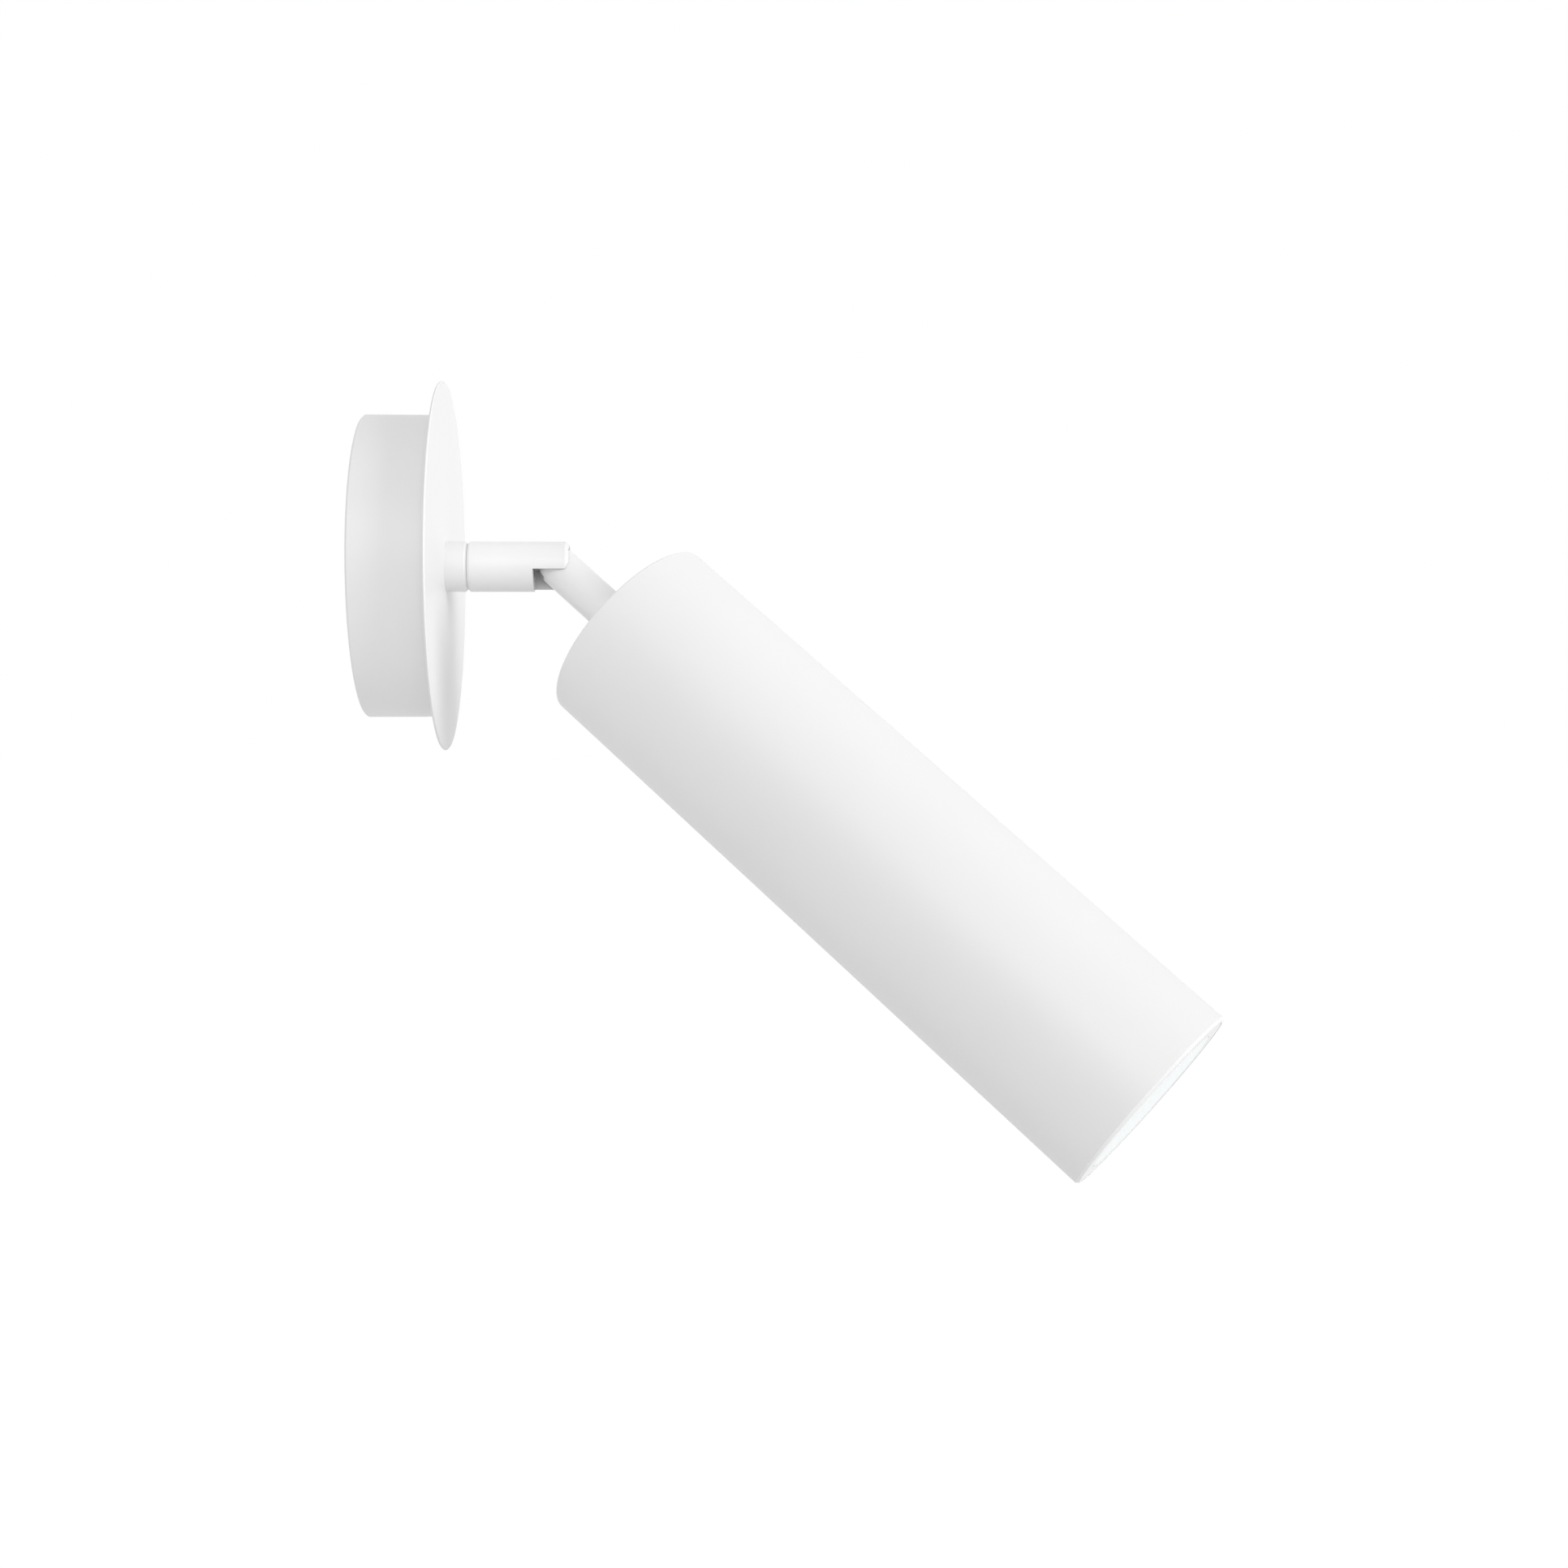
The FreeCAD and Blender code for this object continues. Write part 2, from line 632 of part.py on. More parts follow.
def earth_tag(label, hole, frame, shift, turned):
    """A ring tag, its ring on x = 0 and its crimped barrel reaching along Y."""
    body = new_body(label, frame, shift, turned)
    ring = new_sketch(body, "X")
    draw_circle(ring, "0", "0", "tag_diameter")
    pad(body, ring, "X", "tag_thickness")
    tongue = new_sketch(body, "X")
    draw_rectangle(tongue, "0", "tag_reach + tag_barrel_length", "-tag_tongue_width / 2", "tag_tongue_width / 2")
    pad(body, tongue, "X", "tag_thickness")
    barrel = new_sketch(body, "Y", "tag_reach")
    draw_circle(barrel, "tag_barrel_diameter / 2", "0", "tag_barrel_diameter")
    pad(body, barrel, "Y", "tag_barrel_length")
    drill(body, "Y", [("tag_barrel_diameter / 2", "0", "lead_diameter + 2 * fit_gap")], "tag_reach",
          "tag_barrel_length")
    return drill(body, "X", [("0", "0", f"{hole} + 2 * fit_gap")], "0", "tag_thickness")


earth_top = "(box_wall + earth_boss_height)"
# the base tag's barrel points from the earth screw to the middle of the box
base_tag_turn = "atan2(-earth_z; -earth_y)"


def base_earth_tag():
    return earth_tag("base_earth_tag", "earth_screw_diameter", wall_frame,
                     (earth_top, "earth_y", "earth_z"), f"rotationx({base_tag_turn})")


def base_earth_washer():
    """A toothed washer on the tag."""
    body = new_body("base_earth_washer", shift=(f"{earth_top} + tag_thickness", "earth_y", "earth_z"))
    bore = "earth_screw_diameter / 2 + fit_gap"
    return turn(body, [("0", bore), ("earth_washer_thickness", bore),
                       ("earth_washer_thickness", "earth_washer_diameter / 2"),
                       ("0", "earth_washer_diameter / 2")])


def base_earth_screw():
    seat = f"({earth_top} + tag_thickness + earth_washer_thickness)"
    return pan_screw("base_earth_screw", "earth_screw_diameter", f"{seat} - box_wall", "earth_screw_head",
                     shift=(seat, "earth_y", "earth_z"))


# Cover and neck

def cover_disc():
    """A thin disc wider than the box, with chamfered edges and a rim behind that slips into the box."""
    body = new_body("cover_disc")
    hole = "collar_tail_diameter / 2 + fit_gap"
    outside = "(box_diameter / 2 - box_wall - fit_gap)"
    rim_back_edge = "box_depth - rim_depth"
    edge = "(cover_diameter / 2)"
    turn(body, [("box_depth", hole), ("box_depth", f"{outside} - rim_wall"),
                (rim_back_edge, f"{outside} - rim_wall"), (rim_back_edge, outside), ("box_depth", outside),
                ("box_depth", f"{edge} - cover_edge_chamfer"), ("box_depth + cover_edge_chamfer", edge),
                (f"{cover_front} - cover_edge_chamfer", edge), (cover_front, f"{edge} - cover_edge_chamfer"),
                (cover_front, hole)])
    return drill(body, "Z", [("box_depth - rim_depth / 2", "0", "cover_screw_diameter + 2 * thread_gap")], "0",
                 "box_diameter", 0)


def cover_screws():
    """Two headless screws, at the top and bottom of the box, that hold the cover's rim."""
    screw = grub_screw("cover_screw", "cover_screw_diameter", "cover_screw_length")
    height = "(box_diameter / 2 - fit_gap)"
    along = "box_depth - rim_depth / 2"
    return group("cover_screws", screw, wall_frame,
                 [((along, "0", height), (0, 0, 1)), ((along, "0", f"-{height}"), (0, 0, -1))])


def neck_collar():
    """The fixed ring of the neck. Its tail passes through the cover, and a groove in its front
    face, left solid at the top, lets the swivel's stop pin run."""
    body = new_body("neck_collar")
    bore = "stem_diameter / 2 + fit_gap"
    turn(body, [(collar_tail_end, bore), (collar_tail_end, "collar_tail_diameter / 2"),
                (cover_front, "collar_tail_diameter / 2"), (cover_front, neck_radius),
                (f"{collar_front} - neck_chamfer", neck_radius),
                (collar_front, f"{neck_radius} - neck_chamfer"),
                (collar_front, bore)])
    track = new_sketch(body, "Y")
    wide = "(stop_pin_diameter / 2 + fit_gap)"
    draw_rectangle(track, f"{fork_back} - stop_pin_reach - 2 * running_gap", collar_front,
                   f"-{stop_pin_radius} - {wide}", f"-{stop_pin_radius} + {wide}")
    before = body.Shape.Volume
    groove = body.newObject("PartDesign::Groove", "stop_track")
    groove.Profile = track
    groove.ReferenceAxis = (track, ["H_Axis"])
    groove.Midplane = True
    pin_angle = f"2 * asin(stop_pin_diameter / 2 / {stop_pin_radius})"
    groove.setExpression("Angle", bound(f"swivel_angle * 1 deg + {pin_angle} + 2 deg * stop_spare_angle"))
    doc.recompute()
    if body.Shape.Volume >= before:
        raise RuntimeError("the stop track takes nothing away")
    return body


def collar_washer():
    return washer("collar_washer", "box_depth - collar_washer_thickness", "collar_washer_thickness",
                  "collar_washer_diameter", "(collar_tail_diameter + 2 * fit_gap)")


def collar_nut():
    return hex_nut("collar_nut", "box_depth - collar_washer_thickness - collar_nut_height",
                   "collar_nut_height", "collar_nut_flats", "(collar_tail_diameter + 2 * thread_gap)")


def base_leads():
    """Three leads from the hollow stem to the strip and to the earth tag."""
    entry = f"{stem_end} + lead_stem_reach"
    low = "(box_wall + lead_diameter / 2 + lead_wall_gap)"
    near_side = f"{terminal_y} - terminal_width / 2"
    made = []
    for name, pole in (("live", 1), ("neutral", -1)):
        y, z = around(lead_angles[name])
        made.append(lead(f"base_{name}_lead", wall_frame, [
            (entry, y, z), (low, y, z),
            (insert_x, f"{near_side} - lead_diameter", f"{pole} * terminal_pitch"),
            (insert_x, f"{terminal_y} - terminal_screw_offset / 2", f"{pole} * terminal_pitch")]))
    y, z = around(lead_angles["earth"])
    barrel_x = f"({earth_top} + tag_barrel_diameter / 2)"
    mouth_out = "(tag_reach + tag_barrel_length)"
    reach_y, reach_z = f"cos({base_tag_turn})", f"sin({base_tag_turn})"
    made.append(lead("base_earth_lead", wall_frame, [
        (entry, y, z), (low, y, z),
        (barrel_x, f"earth_y + {reach_y} * ({mouth_out} + lead_diameter)",
         f"earth_z + {reach_z} * ({mouth_out} + lead_diameter)"),
        (barrel_x, f"earth_y + {reach_y} * (tag_reach + lead_diameter)",
         f"earth_z + {reach_z} * (tag_reach + lead_diameter)")]))
    return made


# Fork

def fork():
    """The turned fork with its hollow stem. Its front end is bored for the arm and open below,
    so that the arm can fold down out of the bore."""
    body = new_body("fork", fork_frame)
    turn(body, [(stem_end, "wire_bore / 2"), (stem_end, "stem_diameter / 2"), (fork_back, "stem_diameter / 2"),
                (fork_back, f"{neck_radius} - neck_chamfer"), (f"{fork_back} + neck_chamfer", neck_radius),
                (f"{fork_front} - fork_end_chamfer", neck_radius),
                (fork_front, f"{neck_radius} - fork_end_chamfer"),
                (fork_front, slot_half), (slot_back, slot_half), (slot_back, "wire_bore / 2")])
    channel = new_sketch(body, "X", slot_back)
    draw_rectangle(channel, f"-{slot_half}", slot_half, f"-2 * {neck_radius}",
                   "pivot_washer_diameter / 2 + fit_gap")
    cut(body, channel, "X", f"2 * {neck_radius}")
    drill(body, "X", [("0", f"-{stop_pin_radius}", "stop_pin_diameter + 2 * thread_gap")], fork_back,
          "stop_pin_seat + fit_gap")
    # the far ear's screw hole and seat, and the near ear's blind thread
    drill(body, "Y", [(pivot_x, "0", "pivot_screw_diameter + 2 * thread_gap")], "0", neck_radius)
    drill(body, "Y", [(pivot_x, "0", "pivot_screw_head + 2 * fit_gap")],
          f"{neck_radius} - pivot_screw_seat", neck_radius)
    return drill(body, "Y", [(pivot_x, "0", "pivot_screw_diameter + 2 * thread_gap")], "0",
                 f"{slot_half} + pivot_screw_bite + fit_gap", -1)


def stop_pin():
    """The pin in the fork's back face that runs in the collar's groove."""
    body = new_body("stop_pin", fork_frame)
    pin = new_sketch(body, "X", f"{fork_back} - stop_pin_reach")
    draw_circle(pin, "0", f"-{stop_pin_radius}", "stop_pin_diameter")
    return pad(body, pin, "X", "stop_pin_reach + stop_pin_seat")


def swivel_washer():
    return washer("swivel_washer", spring_washer_front, "swivel_washer_thickness", "swivel_washer_diameter",
                  "(stem_diameter + 2 * fit_gap)", fork_frame)


def swivel_spring_washer():
    return washer("swivel_spring_washer", stem_nut_front, "spring_washer_thickness",
                  "swivel_washer_diameter", "(stem_diameter + 2 * fit_gap)", fork_frame)


def stem_nut():
    return hex_nut("stem_nut", f"{stem_nut_front} - stem_nut_height", "stem_nut_height", "stem_nut_flats",
                   "(stem_diameter + 2 * thread_gap)", fork_frame)


def pivot_screw():
    """The screw through the far ear, the arm's ball and into the near ear."""
    seat = f"({neck_radius} - pivot_screw_seat)"
    return pan_screw("pivot_screw", "pivot_screw_diameter", f"{seat} + {slot_half} + pivot_screw_bite",
                     "pivot_screw_head", "pivot_screw_head_height", frame=fork_frame,
                     shift=(pivot_x, seat, "0"), turn="rotationz(90)")


def fork_leads():
    """The same three leads inside the fork's bore, from the stem's end to just behind the slot."""
    start = f"{stem_end} + lead_stem_reach + lead_end_gap"
    end = f"{slot_back} - lead_slot_inset"
    return [lead(f"fork_{name}_lead", fork_frame, [(start, *around(angle)), (end, *around(angle))])
            for name, angle in lead_angles.items()]


# Arm

def arm():
    """A hollow arm with a ball end round the pivot. The ball is slotted behind and below for the
    leads, flat beside the pivot for two washers, and the other end is a thread through the cap."""
    body = new_body("arm", head_frame)
    radius = "arm_diameter / 2"
    turn(body, [(f"-{radius}", "0", radius), ("0", radius), ("arm_to_head", radius),
                ("arm_to_head", "arm_tail_diameter / 2"), (arm_tail_end, "arm_tail_diameter / 2"),
                (arm_tail_end, "wire_bore / 2"), ("arm_bore_start", "wire_bore / 2"), ("arm_bore_start", "0")])
    wires = new_sketch(body, "Y")
    draw_outline(wires, [("-arm_diameter", "-arm_diameter"), ("0", "-arm_diameter"), ("0", "-wire_bore / 2"),
                         ("arm_bore_start + fit_gap", "-wire_bore / 2"),
                         ("arm_bore_start + fit_gap", "wire_bore / 2"), ("-arm_diameter", "wire_bore / 2")])
    cut(body, wires, "Y", "arm_wire_slot", 0)
    drill(body, "Y", [("0", "0", "pivot_screw_diameter + 2 * fit_gap")], "0", "2 * arm_diameter", 0)
    for towards in (-1, 1):
        flat = f"{towards} * (arm_diameter / 2 - pivot_washer_recess)"
        drill(body, "Y", [("0", "0", "pivot_washer_diameter + 2 * fit_gap")], flat, "arm_diameter", towards)
    return body


def pivot_washers():
    """Two plastic washers between the ball's flats and the fork's ears."""
    body = new_body("pivot_washers", head_frame)
    for towards in (-1, 1):
        ring = new_sketch(body, "Y", f"{towards} * (arm_diameter / 2 - pivot_washer_recess)")
        draw_circle(ring, "0", "0", "pivot_washer_diameter")
        draw_circle(ring, "0", "0", "pivot_screw_diameter + 2 * fit_gap")
        pad(body, ring, "Y", "pivot_washer_recess + slot_gap - pivot_washer_play", towards)
    return body


def arm_washer():
    return washer("arm_washer", cap_front, "arm_washer_thickness", "arm_washer_diameter",
                  "(arm_tail_diameter + 2 * fit_gap)", head_frame)


def arm_nut():
    return hex_nut("arm_nut", arm_nut_back, "arm_nut_height", "arm_nut_flats",
                   "(arm_tail_diameter + 2 * thread_gap)", head_frame)


# Head

cap_screw_along = "(arm_to_head + (cap_thickness + cap_rim_depth) / 2)"


def rear_cap():
    """The disc that closes the tube's back, with a rim inside the tube for its two screws."""
    body = new_body("rear_cap", head_frame)
    outside = f"({tube_inner_radius} - fit_gap)"
    rim_end = "arm_to_head + cap_rim_depth"
    hole = "arm_tail_diameter / 2 + fit_gap"
    turn(body, [("arm_to_head", hole), ("arm_to_head", outside), (rim_end, outside),
                (rim_end, f"{outside} - cap_rim_wall"), (cap_front, f"{outside} - cap_rim_wall"),
                (cap_front, hole)])
    foot_holes = [(f"{side} * bracket_foot_screw_spacing / 2", "bracket_foot_screw_height",
                   "bracket_screw_diameter + 2 * thread_gap") for side in (-1, 1)]
    drill(body, "X", foot_holes, cap_front, "bracket_screw_bite + fit_gap", -1)
    screw_hole = [(cap_screw_along, "0", "cap_screw_diameter + 2 * thread_gap")]
    drill(body, "Y", screw_hole, "0", "head_diameter")
    return drill(body, "Z", screw_hole, "0", "head_diameter")


def head_tube():
    """The long tube, chamfered at its mouth, with two plain screw holes near its back."""
    body = new_body("head_tube", head_frame)
    outer = "head_diameter / 2"
    turn(body, [("arm_to_head", tube_inner_radius), ("arm_to_head", f"{outer} - back_chamfer"),
                ("arm_to_head + back_chamfer", outer), (f"{mouth} - mouth_chamfer", outer),
                (mouth, f"{outer} - mouth_chamfer"), (mouth, tube_inner_radius)])
    screw_hole = [(cap_screw_along, "0", "cap_screw_diameter + 2 * thread_gap")]
    drill(body, "Y", screw_hole, "0", "head_diameter")
    return drill(body, "Z", screw_hole, "0", "head_diameter")


def cap_screws():
    """Two headless screws, on top and on the far side, through the tube into the cap's rim."""
    screw = grub_screw("cap_screw", "cap_screw_diameter", "cap_screw_length")
    height = "(head_diameter / 2 - fit_gap)"
    return group("cap_screws", screw, head_frame,
                 [((cap_screw_along, "0", height), (0, 0, 1)), ((cap_screw_along, height, "0"), (0, 1, 0))])


def front_ring():
    """The ring just inside the mouth. Its skirt is slit into springs that grip the tube."""
    body = new_body("front_ring", head_frame)
    outside = f"({tube_inner_radius} - fit_gap)"
    skirt_end = f"{ring_front} - ring_skirt_depth"
    turn(body, [(skirt_end, f"{outside} - ring_skirt_wall"), (skirt_end, outside), (ring_front, outside),
                (ring_front, opening_radius), (lamp_face, opening_radius),
                (lamp_face, f"{outside} - ring_skirt_wall")])
    for axis in ("Y", "Z"):
        slit = new_sketch(body, axis)
        draw_rectangle(slit, f"{skirt_end} - ring_slit_width", f"{lamp_face} - ring_thickness",
                       "-ring_slit_width / 2", "ring_slit_width / 2")
        cut(body, slit, axis, "head_diameter", 0)
    return body


# Lamp

def lamp_reflector():
    """The bowl of the reflector lamp, with the seat for its lens."""
    body = new_body("lamp_reflector", head_frame)
    bowl = f"({lamp_radius} - lamp_rim_wall / 2)"
    neck = "(lamp_neck_diameter / 2)"
    seat = f"({lamp_face} - lens_seat_depth)"
    return turn(body, [
        (neck_front, f"{neck} - reflector_wall"), (neck_front, neck, "reflector_bulge"), (rim_back, bowl),
        (rim_back, lamp_radius), (lamp_face, lamp_radius), (lamp_face, f"{lamp_radius} - lamp_rim_wall"),
        (seat, f"{lamp_radius} - lamp_rim_wall"), (seat, f"{bowl} - reflector_wall"),
        (rim_back, f"{bowl} - reflector_wall", "reflector_bulge", "right")])


def lamp_lens():
    """The lamp's thick glass front, slightly domed, set in the bowl's seat. It stands forward into
    the ring's opening as far as the ring's face."""
    body = new_body("lamp_lens", head_frame)
    radius = f"({lamp_radius} - lamp_rim_wall - fit_gap)"
    back = f"{lamp_face} - lens_seat_depth"
    bulge = f"(({radius} ^ 2 + lens_dome ^ 2) / (2 * lens_dome))"
    return turn(body, [(back, "0"), (back, radius), (f"{ring_front} - lens_dome", radius, bulge),
                       (ring_front, "0")])


def lamp_emitter():
    """The light source's small board on the front of the lamp's base."""
    return plain_disc("lamp_emitter", neck_front, "emitter_thickness", "emitter_diameter", head_frame)


def lamp_base():
    """The lamp's ceramic base, which carries the two pins."""
    return plain_disc("lamp_base", lamp_back, "lamp_neck_depth", "lamp_neck_diameter", head_frame)


def lamp_pins():
    """Two pins with wide ends, ten millimetres apart."""
    body = new_body("lamp_pin")
    turn(body, [("-pin_length", "0"), ("-pin_length", "pin_head_diameter / 2"),
                ("-pin_length + pin_head_length", "pin_head_diameter / 2"),
                ("-pin_length + pin_head_length", "pin_diameter / 2"), ("0", "pin_diameter / 2"), ("0", "0")])
    return group("lamp_pins", body, head_frame,
                 [((lamp_back, f"{side} * pin_spacing / 2", "0"), (1, 0, 0)) for side in (-1, 1)])


# Lampholder and bracket

contact_front = f"({lamp_back} - pin_length - thread_gap)"
contact_back = f"({contact_front} - contact_thickness)"
holder_screw_seat = f"({lamp_back} - holder_screw_sink)"


def lampholder():
    """A round ceramic lampholder with two pin sockets, two screw holes and two lead holes."""
    body = plain_disc("lampholder", holder_back, "holder_depth", "holder_diameter", head_frame)
    pins = [(f"{side} * pin_spacing / 2", "0") for side in (-1, 1)]
    screws = [("0", f"{side} * holder_screw_spacing / 2") for side in (-1, 1)]
    drill(body, "X", [(*pin, "pin_head_diameter + 2 * fit_gap") for pin in pins], contact_back, "holder_depth")
    drill(body, "X", [(*pin, "lead_diameter + 2 * fit_gap") for pin in pins], holder_back, "holder_depth")
    drill(body, "X", [(*spot, "holder_screw_diameter + 2 * fit_gap") for spot in screws], holder_back,
          "holder_depth")
    return drill(body, "X", [(*spot, "holder_screw_head + 2 * fit_gap") for spot in screws],
                 holder_screw_seat, "holder_depth")


def holder_contacts():
    """Two brass contacts at the bottom of the pin sockets."""
    body = new_body("holder_contacts", head_frame)
    discs = new_sketch(body, "X", contact_back)
    for side in (-1, 1):
        draw_circle(discs, f"{side} * pin_spacing / 2", "0", "pin_head_diameter")
    return pad(body, discs, "X", "contact_thickness")


def holder_bracket():
    """A steel strip bent twice: a foot on the rear cap, a long leg beside the axis, and a front
    foot square to the axis that carries the lampholder."""
    body = new_body("holder_bracket", head_frame)
    side = new_sketch(body, "Y")
    low = "-holder_diameter / 2"
    inner_height = "bracket_height - bracket_thickness"
    draw_outline(side, [
        (cap_front, "bracket_foot_start"), (cap_front, "bracket_height"), (holder_back, "bracket_height"),
        (holder_back, low), (f"{holder_back} - bracket_thickness", low),
        (f"{holder_back} - bracket_thickness", inner_height),
        (f"{cap_front} + bracket_thickness", inner_height),
        (f"{cap_front} + bracket_thickness", "bracket_foot_start")])
    pad(body, side, "Y", "bracket_width", 0)
    foot_holes = [(f"{hand} * bracket_foot_screw_spacing / 2", "bracket_foot_screw_height",
                   "bracket_screw_diameter + 2 * fit_gap") for hand in (-1, 1)]
    drill(body, "X", foot_holes, cap_front, "2 * bracket_thickness")
    front_holes = [("0", f"{hand} * holder_screw_spacing / 2", "holder_screw_diameter + 2 * thread_gap")
                   for hand in (-1, 1)]
    front_holes += [(f"{hand} * pin_spacing / 2", "0", "2 * lead_diameter") for hand in (-1, 1)]
    drill(body, "X", front_holes, f"{holder_back} + bracket_thickness", "3 * bracket_thickness", -1)
    drill(body, "Z", [("head_earth_place", "0", "head_earth_screw_diameter + 2 * thread_gap")],
          "bracket_height + bracket_thickness", "3 * bracket_thickness", -1)
    strip = body.Tip
    bends = body.newObject("PartDesign::Fillet", "bracket_bends")
    bends.Base = (strip, edges_where(strip, lambda edge: edge.BoundBox.YLength > value("bracket_width / 2")
                                     and edge.BoundBox.ZMin > value(inner_height) + value("bracket_thickness / 2")
                                     and edge.BoundBox.XLength < value("bracket_thickness")))
    bends.setExpression("Radius", bound("bracket_bend"))
    doc.recompute()
    return body


def bracket_screws():
    """Two screws through the bracket's foot into the rear cap."""
    screw = pan_screw("bracket_screw", "bracket_screw_diameter", "bracket_thickness + bracket_screw_bite",
                      "bracket_screw_head")
    return group("bracket_screws", screw, head_frame,
                 [((f"{cap_front} + bracket_thickness", f"{side} * bracket_foot_screw_spacing / 2",
                    "bracket_foot_screw_height"), (1, 0, 0)) for side in (-1, 1)])


def holder_screws():
    """Two screws, sunk in the lampholder's face, into the bracket's front foot."""
    screw = pan_screw("holder_screw", "holder_screw_diameter",
                      "holder_depth - holder_screw_sink + bracket_thickness + thread_end", "holder_screw_head")
    return group("holder_screws", screw, head_frame,
                 [((holder_screw_seat, "0", f"{side} * holder_screw_spacing / 2"), (1, 0, 0))
                  for side in (-1, 1)])


leg_inside = "(bracket_height - bracket_thickness)"


def head_earth_tag():
    """The head's earth tag, under the bracket's leg, its barrel towards the arm."""
    return earth_tag("head_earth_tag", "head_earth_screw_diameter", head_frame,
                     ("head_earth_place", "0", leg_inside), "rotationy(90) * rotationx(90)")


def head_earth_screw():
    """The screw that holds the head's earth tag to the bracket's leg."""
    return pan_screw("head_earth_screw", "head_earth_screw_diameter",
                     "tag_thickness + bracket_thickness + thread_end", "head_earth_screw_head",
                     frame=head_frame, shift=("head_earth_place", "0", f"{leg_inside} - tag_thickness"),
                     turn="rotationy(90)")


# Inside the arm the leads lie to the near side, the far side and above
head_lead_angles = {"live": 210, "neutral": -30, "earth": 90}
# Along the bow of the two long leads: shares of its length, and how many lead widths it hangs
bow_points = ((0.25, 2.2), (0.5, 3.4), (0.75, 2.4))


def head_leads():
    """Three leads from the arm's bore: two hang in a long bow to the lampholder, and the earth
    lead rises to its tag."""
    start = "arm_bore_start + lead_diameter"
    leaving = f"({arm_tail_end} + lead_diameter)"
    span = f"({holder_back} - {leaving})"
    made = []
    for name, side in (("live", -1), ("neutral", 1)):
        y, z = around(head_lead_angles[name])
        bow = [(f"{leaving} + {span} * {share}", f"{y} * (1 - {share}) + {side} * pin_spacing / 2 * {share}",
                f"-lead_diameter * {drop}") for share, drop in bow_points]
        made.append(lead(f"head_{name}_lead", head_frame, [
            (start, y, z), (leaving, y, z), *bow,
            (f"{holder_back} - lead_socket_run", f"{side} * pin_spacing / 2", "0"),
            (contact_back, f"{side} * pin_spacing / 2", "0")]))
    y, z = around(head_lead_angles["earth"])
    barrel_height = f"({leg_inside} - tag_barrel_diameter / 2)"
    barrel_mouth = "(head_earth_place - tag_reach - tag_barrel_length)"
    made.append(lead("head_earth_lead", head_frame, [
        (start, y, z), (f"{arm_tail_end} + lead_free_run", y, z),
        (f"{barrel_mouth} - 2 * lead_diameter", "0", barrel_height),
        (f"{barrel_mouth} + tag_barrel_length - lead_diameter", "0", barrel_height)]))
    return made


nodes = [
    wall_box(), cable_bush(), terminal_strip(), terminal_inserts(), terminal_screws(), strip_screw(),
    base_earth_tag(), base_earth_washer(), base_earth_screw(), cover_disc(), cover_screws(), neck_collar(),
    collar_washer(), collar_nut(), *base_leads(),
    fork(), stop_pin(), swivel_washer(), swivel_spring_washer(), stem_nut(), pivot_screw(), *fork_leads(),
    arm(), pivot_washers(), arm_washer(), arm_nut(), rear_cap(), head_tube(), cap_screws(), front_ring(),
    lamp_reflector(), lamp_lens(), lamp_emitter(), lamp_base(), lamp_pins(),
    lampholder(), holder_contacts(), holder_bracket(), bracket_screws(), holder_screws(),
    head_earth_tag(), head_earth_screw(), *head_leads(),
]

doc.recompute()
for item in doc.Objects:
    if "Invalid" in item.State or "Error" in item.State:
        raise RuntimeError(f"{item.Label} failed: {item.State}")
for node in nodes:
    if node.Shape.isNull() or not node.Shape.isValid():
        raise RuntimeError(f"{node.Label} has no valid shape")

os.makedirs("parts", exist_ok=True)
for node in nodes:
    node.Shape.exportStep(f"parts/{node.Label}.step")
print(len(nodes), "nodes,", sum(len(node.Shape.Solids) for node in nodes), "solids")
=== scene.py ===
import json
import math

import bpy
import numpy as np
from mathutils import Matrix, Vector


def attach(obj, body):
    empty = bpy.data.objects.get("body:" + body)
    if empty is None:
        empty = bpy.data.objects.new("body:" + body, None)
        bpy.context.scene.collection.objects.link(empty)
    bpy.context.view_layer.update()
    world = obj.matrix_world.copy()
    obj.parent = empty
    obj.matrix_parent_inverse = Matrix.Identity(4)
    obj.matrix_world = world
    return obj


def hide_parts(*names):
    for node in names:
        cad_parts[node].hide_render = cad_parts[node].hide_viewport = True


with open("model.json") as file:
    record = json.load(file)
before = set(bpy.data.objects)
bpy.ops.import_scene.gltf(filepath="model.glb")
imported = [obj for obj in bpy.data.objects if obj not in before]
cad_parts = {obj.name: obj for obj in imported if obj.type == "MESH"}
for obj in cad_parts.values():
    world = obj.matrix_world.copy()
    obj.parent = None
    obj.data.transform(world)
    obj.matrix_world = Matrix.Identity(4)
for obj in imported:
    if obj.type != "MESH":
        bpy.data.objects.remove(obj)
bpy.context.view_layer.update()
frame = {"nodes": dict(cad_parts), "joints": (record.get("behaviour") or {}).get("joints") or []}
nodes = frame["nodes"]

# Studio
# The light stands free in front of white, seen level from its right side. Three broad lamps, two
# from the right and one from above the viewer, and an even white room round it.

camera_place = (0.09481, -0.646, -0.04506)
camera_level = math.radians(90)
camera_roll = math.radians(0.127)
camera_heading = math.radians(-3.826)
picture_width = 36
focal_length = 49.007
shift_right = -0.0287
shift_up = -0.0433

camera = bpy.data.objects.new("camera", bpy.data.cameras.new("camera"))
bpy.context.scene.collection.objects.link(camera)
camera.location = camera_place
camera.rotation_euler = (camera_level, camera_roll, camera_heading)
camera.data.sensor_width = picture_width
camera.data.lens = focal_length
camera.data.shift_x = shift_right
camera.data.shift_y = shift_up
bpy.context.scene.camera = camera
bpy.context.scene.view_settings.view_transform = "Standard"

